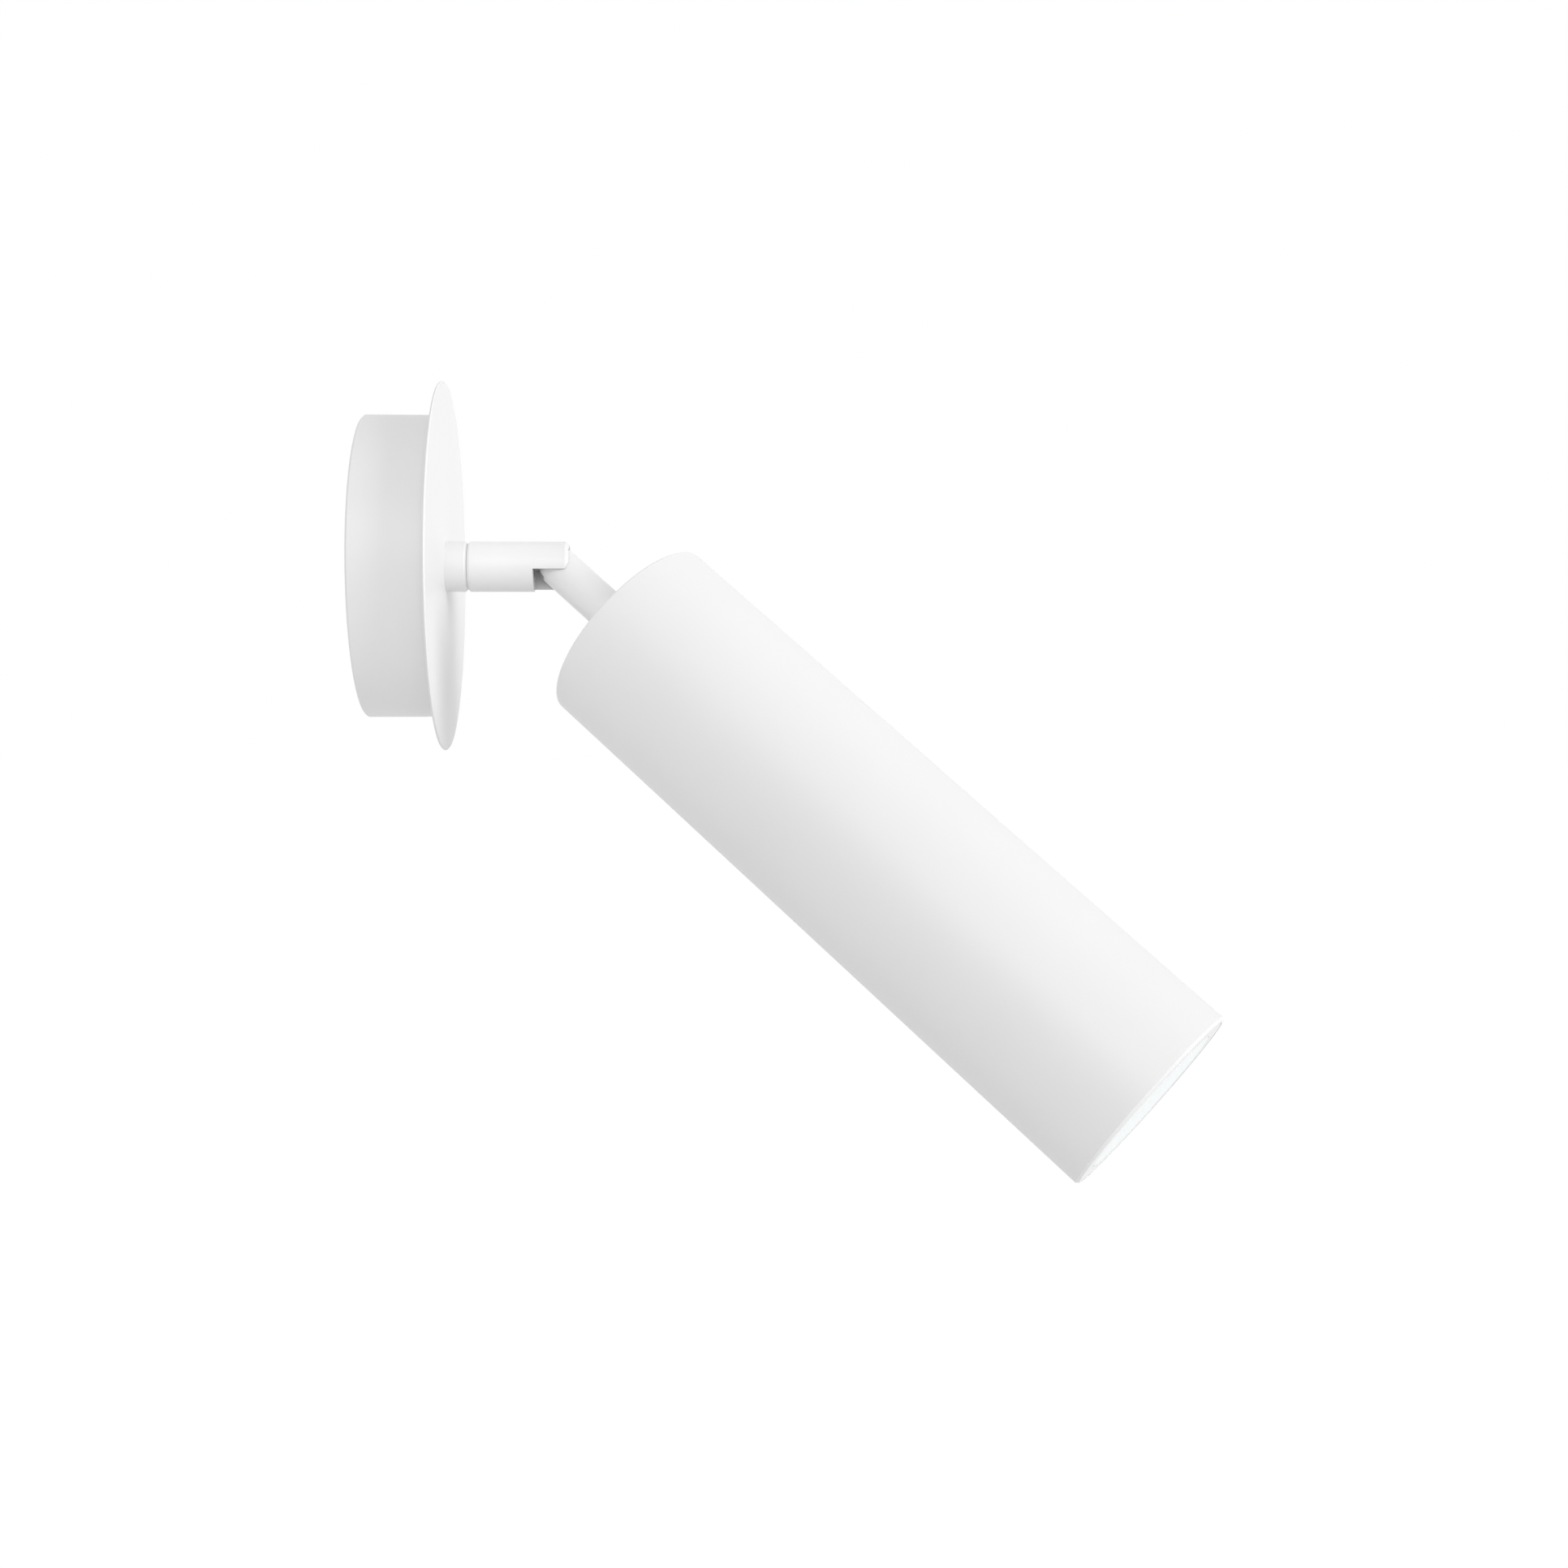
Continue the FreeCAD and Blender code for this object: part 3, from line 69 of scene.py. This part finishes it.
lamp_spread = math.radians(35)
lamps = {"key": ((0.913, -0.369, 0.174), 1.33),
         "side": ((1, 0, 0), 0.2),
         "front": ((0, -0.94, 0.342), 0.6)}

for name, (comes_from, strength) in lamps.items():
    lamp = bpy.data.objects.new(name, bpy.data.lights.new(name, "SUN"))
    bpy.context.scene.collection.objects.link(lamp)
    lamp.data.energy = strength
    lamp.data.angle = lamp_spread
    lamp.rotation_euler = Vector(comes_from).to_track_quat("Z", "Y").to_euler()


class Wire:
    """A value on its way through a material: sums and products with it add the nodes for them."""

    def __init__(self, finish, socket):
        self.finish = finish
        self.socket = socket

    def joined(self, operation, first, second):
        return self.finish.add("ShaderNodeMath", {"operation": operation}, [first, second])

    def __add__(self, other):
        return self.joined("ADD", self, other)

    def __radd__(self, other):
        return self.joined("ADD", other, self)

    def __mul__(self, other):
        return self.joined("MULTIPLY", self, other)

    def __rmul__(self, other):
        return self.joined("MULTIPLY", other, self)

    def __gt__(self, other):
        return self.joined("GREATER_THAN", self, other)

    def __lt__(self, other):
        return self.joined("LESS_THAN", self, other)


class Finish:
    """A finish of this light, grown node by node in front of one shader."""

    def __init__(self, owner, **shader):
        self.owner = owner
        self.tree = owner.node_tree
        self.shader = next(node for node in self.tree.nodes
                           if node.type in ("BSDF_PRINCIPLED", "BACKGROUND"))
        for name, value in shader.items():
            self.shader.inputs[name.replace("_", " ")].default_value = value

    def add(self, kind, settings=None, inputs=(), output=0):
        """A new node: its settings first, then the values or wires of its inputs."""
        node = self.tree.nodes.new(kind)
        for name, value in (settings or {}).items():
            if name == "stops":
                ramp = node.color_ramp.elements
                while len(ramp) < len(value):
                    ramp.new(1)
                for stop, (at, colour) in zip(ramp, value):
                    stop.position = at
                    stop.color = (*colour, 1)
            else:
                setattr(node, name, value)
        pairs = inputs.items() if isinstance(inputs, dict) else enumerate(inputs)
        for name, value in pairs:
            if isinstance(value, Wire):
                self.tree.links.new(value.socket, node.inputs[name])
            else:
                node.inputs[name].default_value = value
        return Wire(self, node.outputs[output])

    def feed(self, **wires):
        """Lead wires into the shader's own sockets."""
        for name, wire in wires.items():
            self.tree.links.new(wire.socket, self.shader.inputs[name.replace("_", " ")])

    def place(self):
        """Where a point lies on the light, in metres."""
        return self.add("ShaderNodeTexCoord", output="Object")

    def noise(self, size, detail=2):
        """Soft random spots about as wide as a size in metres, from 0 to 1."""
        return self.add("ShaderNodeTexNoise", None,
                        {"Vector": self.place(), "Scale": 1 / size, "Detail": detail})

    def cells(self, size):
        """Flakes about as wide as a size in metres, from 0 in each middle up to its edge."""
        return self.add("ShaderNodeTexVoronoi", None, {"Vector": self.place(), "Scale": 1 / size})

    def looks(self):
        """The sum of three marks: for rays straight from the camera, mirrored, and through glass."""
        marks = [self.add("ShaderNodeLightPath", output=ray)
                 for ray in ("Is Camera Ray", "Is Glossy Ray", "Is Transmission Ray")]
        return marks[0] + marks[1] + marks[2]

    def ramp(self, share, *stops):
        """A colour that follows a share, from stops of a position and a colour each."""
        return self.add("ShaderNodeValToRGB", {"stops": stops}, [share])

    def mix(self, share, first, second):
        """One colour that turns into another with a share."""
        return self.add("ShaderNodeMix", {"data_type": "RGBA"}, {0: share, 6: first, 7: second}, output=2)

    def bump(self, height, depth, below=None):
        """Relief of a depth in metres, over relief that is there already."""
        inputs = {"Height": height, "Distance": depth, "Strength": 1.0}
        if below:
            inputs["Normal"] = below
        return self.add("ShaderNodeBump", None, inputs)


def new_finish(name, **shader):
    """A material of this name with its shader's plain numbers set."""
    material = bpy.data.materials.new(name)
    material.use_nodes = True
    return Finish(material, **shader)


white = (1, 1, 1, 1)
room_strength = 0.63

room = bpy.data.worlds.new("room")
room.use_nodes = True
bpy.context.scene.world = room
air = Finish(room, Color=white)
air.feed(Strength=room_strength + (1 - room_strength) * air.looks())

# Floor
# A wide sheet of white paper far below the light. Soft light falls on it as on any paper, while
# the camera sees it as white as the room, with only a trace of the shadow.

floor_height = -0.36
floor_half = 12
paper_white = (0.9, 0.9, 0.9, 1)
paper_roughness = 0.9
shadow_share = 0.2
glow_strength = 1.09

floor_mesh = bpy.data.meshes.new("floor")
floor_mesh.from_pydata([(x * floor_half, y * floor_half, floor_height) for x, y in
                        ((-1, -1), (1, -1), (1, 1), (-1, 1))], [], [(0, 1, 2, 3)])
floor = bpy.data.objects.new("floor", floor_mesh)
bpy.context.scene.collection.objects.link(floor)

paper = new_finish("floor_paint", Base_Color=paper_white, Roughness=paper_roughness)
glow = paper.add("ShaderNodeEmission", None, {"Color": white, "Strength": glow_strength})
shown = paper.add("ShaderNodeMixShader", None, [
    (1 - shadow_share) * paper.looks(), Wire(paper, paper.shader.outputs[0]), glow])
paper.tree.links.new(shown.socket, paper.tree.nodes["Material Output"].inputs["Surface"])
floor_mesh.materials.append(paper.owner)

# Wall box
# A drawn steel cup under a white powder coat, fine-grained and satin, a touch uneven where the
# powder lies thicker. Its flat back with the screw slots lies on the wall.

coat_light = (0.87, 0.87, 0.87, 1)
coat_dark = (0.845, 0.845, 0.845, 1)
coat_shine = 0.45
coat_roughness = 0.42
roughness_swing = 0.08
grain_size = 0.0004
grain_depth = 0.000006
peel_size = 0.0022
peel_depth = 0.000008
cloud_size = 0.03
gloss_patch = 0.0075
edge_round = 0.00025
edge_samples = 6


def dress(finish, *names):
    """Give CAD nodes a finish in every material slot they have."""
    for name in names:
        for place in nodes[name].material_slots:
            place.material = finish.owner


def powder_coat(name, roughness=coat_roughness, peel=peel_depth):
    """Powder coat: spots of two near whites, a fine grain over the soft waves of the melted
    powder, which runs round over sharp edges, and slightly patchy gloss."""
    coat = new_finish(name, Specular_IOR_Level=coat_shine)
    rounded = coat.add("ShaderNodeBevel", {"samples": edge_samples}, {"Radius": edge_round})
    waves = coat.bump(coat.noise(peel_size, 1), peel, rounded)
    coat.feed(Base_Color=coat.mix(coat.noise(cloud_size, 3), coat_dark, coat_light),
              Roughness=roughness - roughness_swing / 2 + roughness_swing * coat.noise(gloss_patch),
              Normal=coat.bump(coat.noise(grain_size, 3), grain_depth, waves))
    return coat


dress(powder_coat("box_coat"), "wall_box")

# Cable bush
# A moulded ring of black rubber, sprung into the hole in the box's back so that the mains cable
# can't chafe. Matt, with a little dust in its pores.

rubber_black = (0.022, 0.022, 0.023, 1)
rubber_dusty = (0.055, 0.054, 0.052, 1)
rubber_shine = 0.3
rubber_roughness = 0.68
rubber_wear = 0.2
wear_size = 0.002
dust_size = 0.004
pore_size = 0.0003
pore_depth = 0.00003

rubber = new_finish("bush_rubber", Specular_IOR_Level=rubber_shine)
rubber.feed(Base_Color=rubber.mix(rubber.noise(dust_size, 4), rubber_black, rubber_dusty),
            Roughness=rubber_roughness + rubber_wear * rubber.noise(wear_size),
            Normal=rubber.bump(rubber.noise(pore_size, 4), pore_depth))
dress(rubber, "cable_bush")

# Terminal strip
# Three clamps in a block of natural polyamide, cloudy and a little waxy, with flow marks from
# moulding. The brass tubes inside are sawn from a bar.

nylon_milky = (0.80, 0.79, 0.74, 1)
nylon_clear = (0.71, 0.70, 0.63, 1)
brass_bright = (0.83, 0.66, 0.36, 1)
brass_dull = (0.57, 0.42, 0.21, 1)
nylon_depth = 0.001
nylon_glow = 0.12
nylon_roughness = 0.34
nylon_wax = 0.16
flow_depth = 0.00001
strip_cloud = 0.008
tarnish_size = 0.005
brass_roughness = 0.2
tarnish_roughness = 0.22
tool_mark_size = 0.0002
tool_mark_depth = 0.000004


def nylon(name, cloud):
    """Natural polyamide: milky clouds of a size, with waxy patches a third and flow marks an
    eighth as wide. A little light goes into it."""
    plastic = new_finish(name, Subsurface_Weight=nylon_glow, Subsurface_Scale=nylon_depth)
    plastic.feed(Base_Color=plastic.mix(plastic.noise(cloud, 3), nylon_clear, nylon_milky),
                 Roughness=nylon_roughness + nylon_wax * plastic.noise(cloud / 3),
                 Normal=plastic.bump(plastic.noise(cloud / 8, 3), flow_depth))
    return plastic


def brass(name, bright=brass_bright, dull=brass_dull):
    """Bare metal, brass or plated brass: bright, with tarnish in clouds and fine tool marks."""
    metal = new_finish(name, Metallic=1.0)
    tarnish = metal.noise(tarnish_size, 4)
    metal.feed(Base_Color=metal.mix(tarnish, bright, dull),
               Roughness=brass_roughness + tarnish_roughness * tarnish,
               Normal=metal.bump(metal.noise(tool_mark_size, 2), tool_mark_depth))
    return metal


dress(nylon("strip_plastic", strip_cloud), "terminal_strip")
dress(brass("brass"), "terminal_inserts", "holder_contacts")

# Screws, nuts and washers
# Turned and pressed steel with a thin bright zinc plating, which breaks into faint bluish and
# yellowish patches. Fine marks from the lathe and the press dull it a little.

zinc_blue = (0.66, 0.70, 0.74)
zinc_grey = (0.62, 0.62, 0.61)
zinc_warm = (0.72, 0.69, 0.60)
zinc_shades = (0.35, zinc_blue), (0.5, zinc_grey), (0.68, zinc_warm)
zinc_patch = 0.003
zinc_roughness = 0.24
zinc_haze = 0.2
haze_size = 0.0015
lathe_mark_size = 0.00025
lathe_mark_depth = 0.000005

plating = new_finish("zinc_steel", Metallic=1.0)
plating.feed(Base_Color=plating.ramp(plating.noise(zinc_patch, 3), *zinc_shades),
             Roughness=zinc_roughness + zinc_haze * plating.noise(haze_size),
             Normal=plating.bump(plating.noise(lathe_mark_size, 3), lathe_mark_depth))
dress(plating, "terminal_screws", "strip_screw", "base_earth_screw", "base_earth_washer",
      "cover_screws", "collar_washer", "collar_nut", "stop_pin", "swivel_washer",
      "swivel_spring_washer", "stem_nut", "pivot_screw", "arm_washer", "arm_nut", "cap_screws",
      "bracket_screws", "holder_screws", "head_earth_screw")

# Earth tags
# Ring tags stamped from brass and dipped in tin, crimped to the ends of the earth leads and held
# by a screw. Soft grey, with a yellow tone where the tin is thin.

tin_grey = (0.70, 0.69, 0.65, 1)
tin_thin = (0.66, 0.58, 0.42, 1)

dress(brass("tag_metal", tin_grey, tin_thin), "base_earth_tag", "head_earth_tag")

# Leads
# Stranded copper in silicone rubber sleeves: brown, blue, and green with yellow. The sleeve is
# satin, slightly ribbed by the strands, and picks up a little talc.

brown = (0.16, 0.065, 0.03, 1)
blue = (0.03, 0.13, 0.48, 1)
green = (0.09, 0.36, 0.06, 1)
yellow = (0.80, 0.66, 0.05, 1)
talc = (0.62, 0.60, 0.57, 1)
no_talc = (0, 0, 0)
most_talc = (0.12, 0.12, 0.12)
talc_cover = (0.55, no_talc), (0.8, most_talc)
talc_size = 0.006
sleeve_shine = 0.4
sleeve_roughness = 0.42
sleeve_rub = 0.15
rub_size = 0.003
rib_size = 0.0007
rib_depth = 0.00003
stripe_scale = 90.0
stripe_waver = 0.4
stripe_edge = 0.5


def sleeve(name, colour, stripe=None):
    """A silicone sleeve of one colour, or of two that alternate in bands of a few millimetres."""
    skin = new_finish(name, Specular_IOR_Level=sleeve_shine)
    tint = colour
    if stripe:
        bands = skin.add("ShaderNodeTexWave", {"bands_direction": "DIAGONAL"},
                         {"Vector": skin.place(), "Scale": stripe_scale,
                          "Distortion": stripe_waver}, output=1)
        tint = skin.mix(bands > stripe_edge, colour, stripe)
    dusty = skin.ramp(skin.noise(talc_size, 4), *talc_cover)
    skin.feed(Base_Color=skin.mix(dusty, tint, talc),
              Roughness=sleeve_roughness + sleeve_rub * skin.noise(rub_size),
              Normal=skin.bump(skin.noise(rib_size, 1), rib_depth))
    return skin


dress(sleeve("live_lead", brown), "base_live_lead", "fork_live_lead", "head_live_lead")
dress(sleeve("neutral_lead", blue), "base_neutral_lead", "fork_neutral_lead", "head_neutral_lead")
dress(sleeve("earth_lead", green, yellow), "base_earth_lead", "fork_earth_lead", "head_earth_lead")

# Cover disc
# A disc laser-cut from thin sheet, with a rim behind that slips into the box. It has the box's
# coat on both sides.

dress(powder_coat("cover_coat"), "cover_disc")

# Neck
# The fixed collar and the fork, both turned from bar. On such small pieces the powder melts out
# smoother than on sheet.

neck_roughness = 0.38
neck_peel = 0.000004

dress(powder_coat("collar_coat", neck_roughness, neck_peel), "neck_collar")
dress(powder_coat("fork_coat", neck_roughness, neck_peel), "fork")

# Arm
# A turned and bored bar with a ball end, coated like the neck. The ball sits in the fork's slot
# on the pivot screw, between two small moulded washers of polyamide that let it turn.

arm_roughness = 0.4
washer_cloud = 0.004

dress(powder_coat("arm_coat", arm_roughness, neck_peel), "arm")
dress(nylon("washer_plastic", washer_cloud), "pivot_washers")

# Head
# A length of drawn tube with a bevelled mouth and a turned cap at its back, coated after it was
# cut. The sprung ring in the mouth has the same coat.

dress(powder_coat("tube_coat"), "head_tube")
dress(powder_coat("cap_coat"), "rear_cap")
dress(powder_coat("ring_coat"), "front_ring")

# Reflector
# The lamp's pressed glass bowl with its mirror coating. Rows of small hollow facets inside spread
# the light, and show outside as soft bumps.

swivel_rest = math.radians(26.8)
tilt_rest = math.radians(45.7)
lamp_face = 0.2331
rim_depth = 0.003
bowl_depth = 0.03
bowl_radius = 0.0242
bowl_neck = 0.013
bowl_curve = 0.048
rim_radius = 0.025
lens_seat_radius = 0.02345
lens_seat_depth = 0.002
glass_wall = 0.0012
facets_around = 28
facets_along = 6
facet_depth = 0.00035
outer_share = 0.4
rim_round = 0.0002
steps_per_facet = 6

pivot = np.array(frame["joints"][1]["pos_m"])
swing = np.array([[1, 0, 0], [0, math.cos(swivel_rest), math.sin(swivel_rest)],
                  [0, -math.sin(swivel_rest), math.cos(swivel_rest)]])
nod = np.array([[math.cos(tilt_rest), 0, math.sin(tilt_rest)], [0, 1, 0],
                [-math.sin(tilt_rest), 0, math.cos(tilt_rest)]])
head_turn = swing @ nod
crease = math.radians(22)


def turned_skin(name, along, out, closed):
    """A closed skin round the head's axis. The point in row i and column j lies along[i, j] down
    the axis from the pivot and out[i, j] away from it, and the columns go once round in equal
    steps. The last row joins the first one, or both end rows are closed with a flat face."""
    rows, columns = along.shape
    angles = np.linspace(0, 2 * math.pi, columns, endpoint=False)
    rings = np.stack([along, out * np.cos(angles), out * np.sin(angles)], axis=-1)
    row, column = np.meshgrid(np.arange(rows if closed else rows - 1), np.arange(columns), indexing="ij")
    corners = [(row + r) % rows * columns + (column + c) % columns
               for r, c in ((0, 0), (0, 1), (1, 1), (1, 0))]
    faces = np.stack(corners, axis=-1).reshape(-1, 4).tolist()
    if not closed:
        faces += [list(range(columns))[::-1], list(range((rows - 1) * columns, rows * columns))]
    mesh = bpy.data.meshes.new(name)
    mesh.from_pydata((rings.reshape(-1, 3) @ head_turn.T + pivot).tolist(), [], faces)
    mesh.polygons.foreach_set("use_smooth", np.ones(len(faces), bool))
    mesh.set_sharp_from_angle(angle=crease)
    mesh.update()
    piece = bpy.data.objects.new(name, mesh)
    bpy.context.scene.collection.objects.link(piece)
    return piece


def facets(rows, around, steps):
    """Hollows side by side, in steps each way: 1 in the middle of each and 0 on the ridges between
    them. They lie in rows of so many around, and every second row is shifted by half of one."""
    row = np.linspace(0, rows, rows * steps + 1)[:, None]
    column = np.arange(around * steps)[None, :] / steps + np.floor(row) % 2 / 2
    return np.abs(np.sin(math.pi * row)) * np.abs(np.sin(math.pi * column))


def bowl_line(rise, start, end):
    """Radii of the bowl at shares of its depth, on an arc from one radius to another that bulges
    outwards. Its centre lies square to the middle of the chord, as far as its own radius asks."""
    middle = np.array([bowl_depth, end - start]) / 2
    half = np.hypot(*middle)
    centre = middle + math.sqrt(bowl_curve ** 2 - half ** 2) * np.array([middle[1], -middle[0]]) / half
    return start + centre[1] + np.sqrt(bowl_curve ** 2 - (rise * bowl_depth - centre[0]) ** 2)


hollows = facets(facets_along, facets_around, steps_per_facet)
rise = np.linspace(0, 1, len(hollows))[:, None]
rim_back = lamp_face - rim_depth
bowl_along = rim_back - bowl_depth + bowl_depth * rise + 0 * hollows
outside = bowl_line(rise, bowl_neck, bowl_radius) - outer_share * facet_depth * (1 - hollows)
inside = bowl_line(rise, bowl_neck - glass_wall, bowl_radius - glass_wall) + facet_depth * hollows
seat = lamp_face - lens_seat_depth
rim = [(rim_back, rim_radius), (lamp_face - rim_round, rim_radius), (lamp_face, rim_radius - rim_round),
       (lamp_face, lens_seat_radius), (seat, lens_seat_radius), (seat, bowl_radius - glass_wall)]
rim_along, rim_out = np.array(rim).T[:, :, None] + 0 * hollows[:1]
reflector = turned_skin("reflector", np.vstack([bowl_along, rim_along, bowl_along[::-1]]),
                        np.vstack([outside, rim_out, inside[::-1]]), closed=True)

mirror_bright = (0.93, 0.94, 0.95, 1)
mirror_shade = (0.80, 0.83, 0.87, 1)
mirror_cloud = 0.012
mirror_roughness = 0.06
mirror_haze = 0.1
mirror_haze_size = 0.003
ripple_size = 0.0008
ripple_depth = 0.000006

mirror = new_finish("mirror", Metallic=1.0)
mirror.feed(Base_Color=mirror.mix(mirror.noise(mirror_cloud, 3), mirror_bright, mirror_shade),
            Roughness=mirror_roughness + mirror_haze * mirror.noise(mirror_haze_size),
            Normal=mirror.bump(mirror.noise(ripple_size), ripple_depth))
reflector.data.materials.append(mirror.owner)
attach(reflector, "head_part")
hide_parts("lamp_reflector")

# Lens
# The lamp's thick pressed glass front, set in the bowl's seat. Its face is almost flat, and small
# round bumps on its back spread the light. Seen at a slant, the hard clear coat on it mirrors the
# room, and the glass looks pale blue-green.

lens_front = 0.2341
lens_radius = 0.0234
lens_dome = 0.00005
lens_round = 0.00008
lens_rings = 9
lens_around = 54
lens_steps = 5
lens_bump = 0.00018
lens_hub = 0.0002
dome_steps = 12

bumps = facets(lens_rings, lens_around, lens_steps)
spread = np.linspace(0, 1, len(bumps))[:, None] + 0 * bumps
back_out = lens_hub + (lens_radius - lens_round - lens_hub) * spread
back_along = seat + lens_bump * (1 - bumps)
edge_along = np.array([seat + lens_bump, lens_front - lens_dome - lens_round])[:, None] + 0 * bumps[:2]
edge_out = lens_radius + 0 * bumps[:2]
fall = np.linspace(1, 0, dome_steps)[:, None] + 0 * bumps[:1]
face_out = lens_hub + (lens_radius - lens_round - lens_hub) * fall
face_along = lens_front - lens_dome * fall ** 2
lens = turned_skin("lens", np.vstack([back_along, edge_along, face_along]),
                   np.vstack([back_out, edge_out, face_out]), closed=False)

glass_clear = (0.97, 0.99, 0.99, 1)
glass_tinted = (0.93, 0.975, 0.975, 1)
glass_index = 1.5
glass_clearness = 0.85
tint_size = 0.01
glass_roughness = 0.03
glass_haze = 0.05
glass_haze_size = 0.004
swell_size = 0.006
swell_depth = 0.00001
lens_coat_tint = (0.86, 0.95, 0.96, 1)
lens_coat_index = 1.6
lens_coat_roughness = 0.02

glass = new_finish("glass", IOR=glass_index, Transmission_Weight=glass_clearness, Coat_Weight=1.0,
                   Coat_IOR=lens_coat_index, Coat_Roughness=lens_coat_roughness,
                   Coat_Tint=lens_coat_tint)
glass.feed(Base_Color=glass.mix(glass.noise(tint_size), glass_clear, glass_tinted),
           Roughness=glass_roughness + glass_haze * glass.noise(glass_haze_size, 3),
           Normal=glass.bump(glass.noise(swell_size, 1), swell_depth))
lens.data.materials.append(glass.owner)
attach(lens, "head_part")
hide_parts("lamp_lens")

# Light source
# A small round board at the bottom of the bowl. Its tiny cells lie under yellow phosphor and are
# cast in clear silicone.

phosphor_yellow = (0.86, 0.66, 0.16, 1)
phosphor_pale = (0.88, 0.80, 0.52, 1)
silicone_layer = 0.4
cell_size = 0.0012
cell_depth = 0.00004
phosphor_roughness = 0.3
phosphor_grain = 0.3
phosphor_grain_size = 0.002

phosphor = new_finish("phosphor", Coat_Weight=silicone_layer)
cells = phosphor.cells(cell_size)
phosphor.feed(Base_Color=phosphor.mix(cells, phosphor_yellow, phosphor_pale),
              Roughness=phosphor_roughness + phosphor_grain * phosphor.noise(phosphor_grain_size, 3),
              Normal=phosphor.bump(cells, cell_depth))
dress(phosphor, "lamp_emitter")

# Lamp base and pins
# The lamp's foot is pressed from ceramic, unglazed and sandy, and cemented to the bowl. Its two
# brass pins are plated with nickel and stand in holes in the foot.

ceramic_pale = (0.84, 0.82, 0.76, 1)
ceramic_sand = (0.70, 0.66, 0.58, 1)
nickel_light = (0.74, 0.71, 0.66, 1)
nickel_dark = (0.56, 0.54, 0.51, 1)
no_sand = (0, 0, 0)
full_sand = (1, 1, 1)
sand_cover = (0.52, no_sand), (0.66, full_sand)
lamp_sand = 0.0006
sand_depth = 0.00003
ceramic_shine = 0.35
ceramic_roughness = 0.62
ceramic_wear = 0.25
ceramic_wear_size = 0.003


def ceramic(name, sand):
    """Unglazed ceramic: darker grains of a size in a pale body, and a skin half as coarse."""
    clay = new_finish(name, Specular_IOR_Level=ceramic_shine)
    grains = clay.ramp(clay.noise(sand, 4), *sand_cover)
    clay.feed(Base_Color=clay.mix(grains, ceramic_pale, ceramic_sand),
              Roughness=ceramic_roughness + ceramic_wear * clay.noise(ceramic_wear_size),
              Normal=clay.bump(clay.noise(sand / 2, 4), sand_depth))
    return clay


dress(ceramic("lamp_ceramic", lamp_sand), "lamp_base")
dress(brass("pin_metal", nickel_light, nickel_dark), "lamp_pins")

# Lampholder
# A round of pressed steatite with two sockets for the lamp's pins, held to the bracket by two
# screws. It is as rough as the lamp's foot, with coarser grains.

holder_sand = 0.0009

dress(ceramic("holder_ceramic", holder_sand), "lampholder")

# Bracket
# A strip of galvanised sheet steel, stamped and bent, which carries the holder and is screwed to
# the rear cap. Its zinc has grown in flakes.

flake_size = 0.004
flake_dark = (0.50, 0.51, 0.53, 1)
flake_light = (0.68, 0.69, 0.70, 1)
strip_roughness = 0.32
strip_haze = 0.25
strip_haze_size = 0.002
strip_grain_size = 0.0004
strip_grain_depth = 0.000006

strip = new_finish("bracket_steel", Metallic=1.0)
strip.feed(Base_Color=strip.mix(strip.cells(flake_size), flake_dark, flake_light),
           Roughness=strip_roughness + strip_haze * strip.noise(strip_haze_size, 3),
           Normal=strip.bump(strip.noise(strip_grain_size, 2), strip_grain_depth))
dress(strip, "holder_bracket")
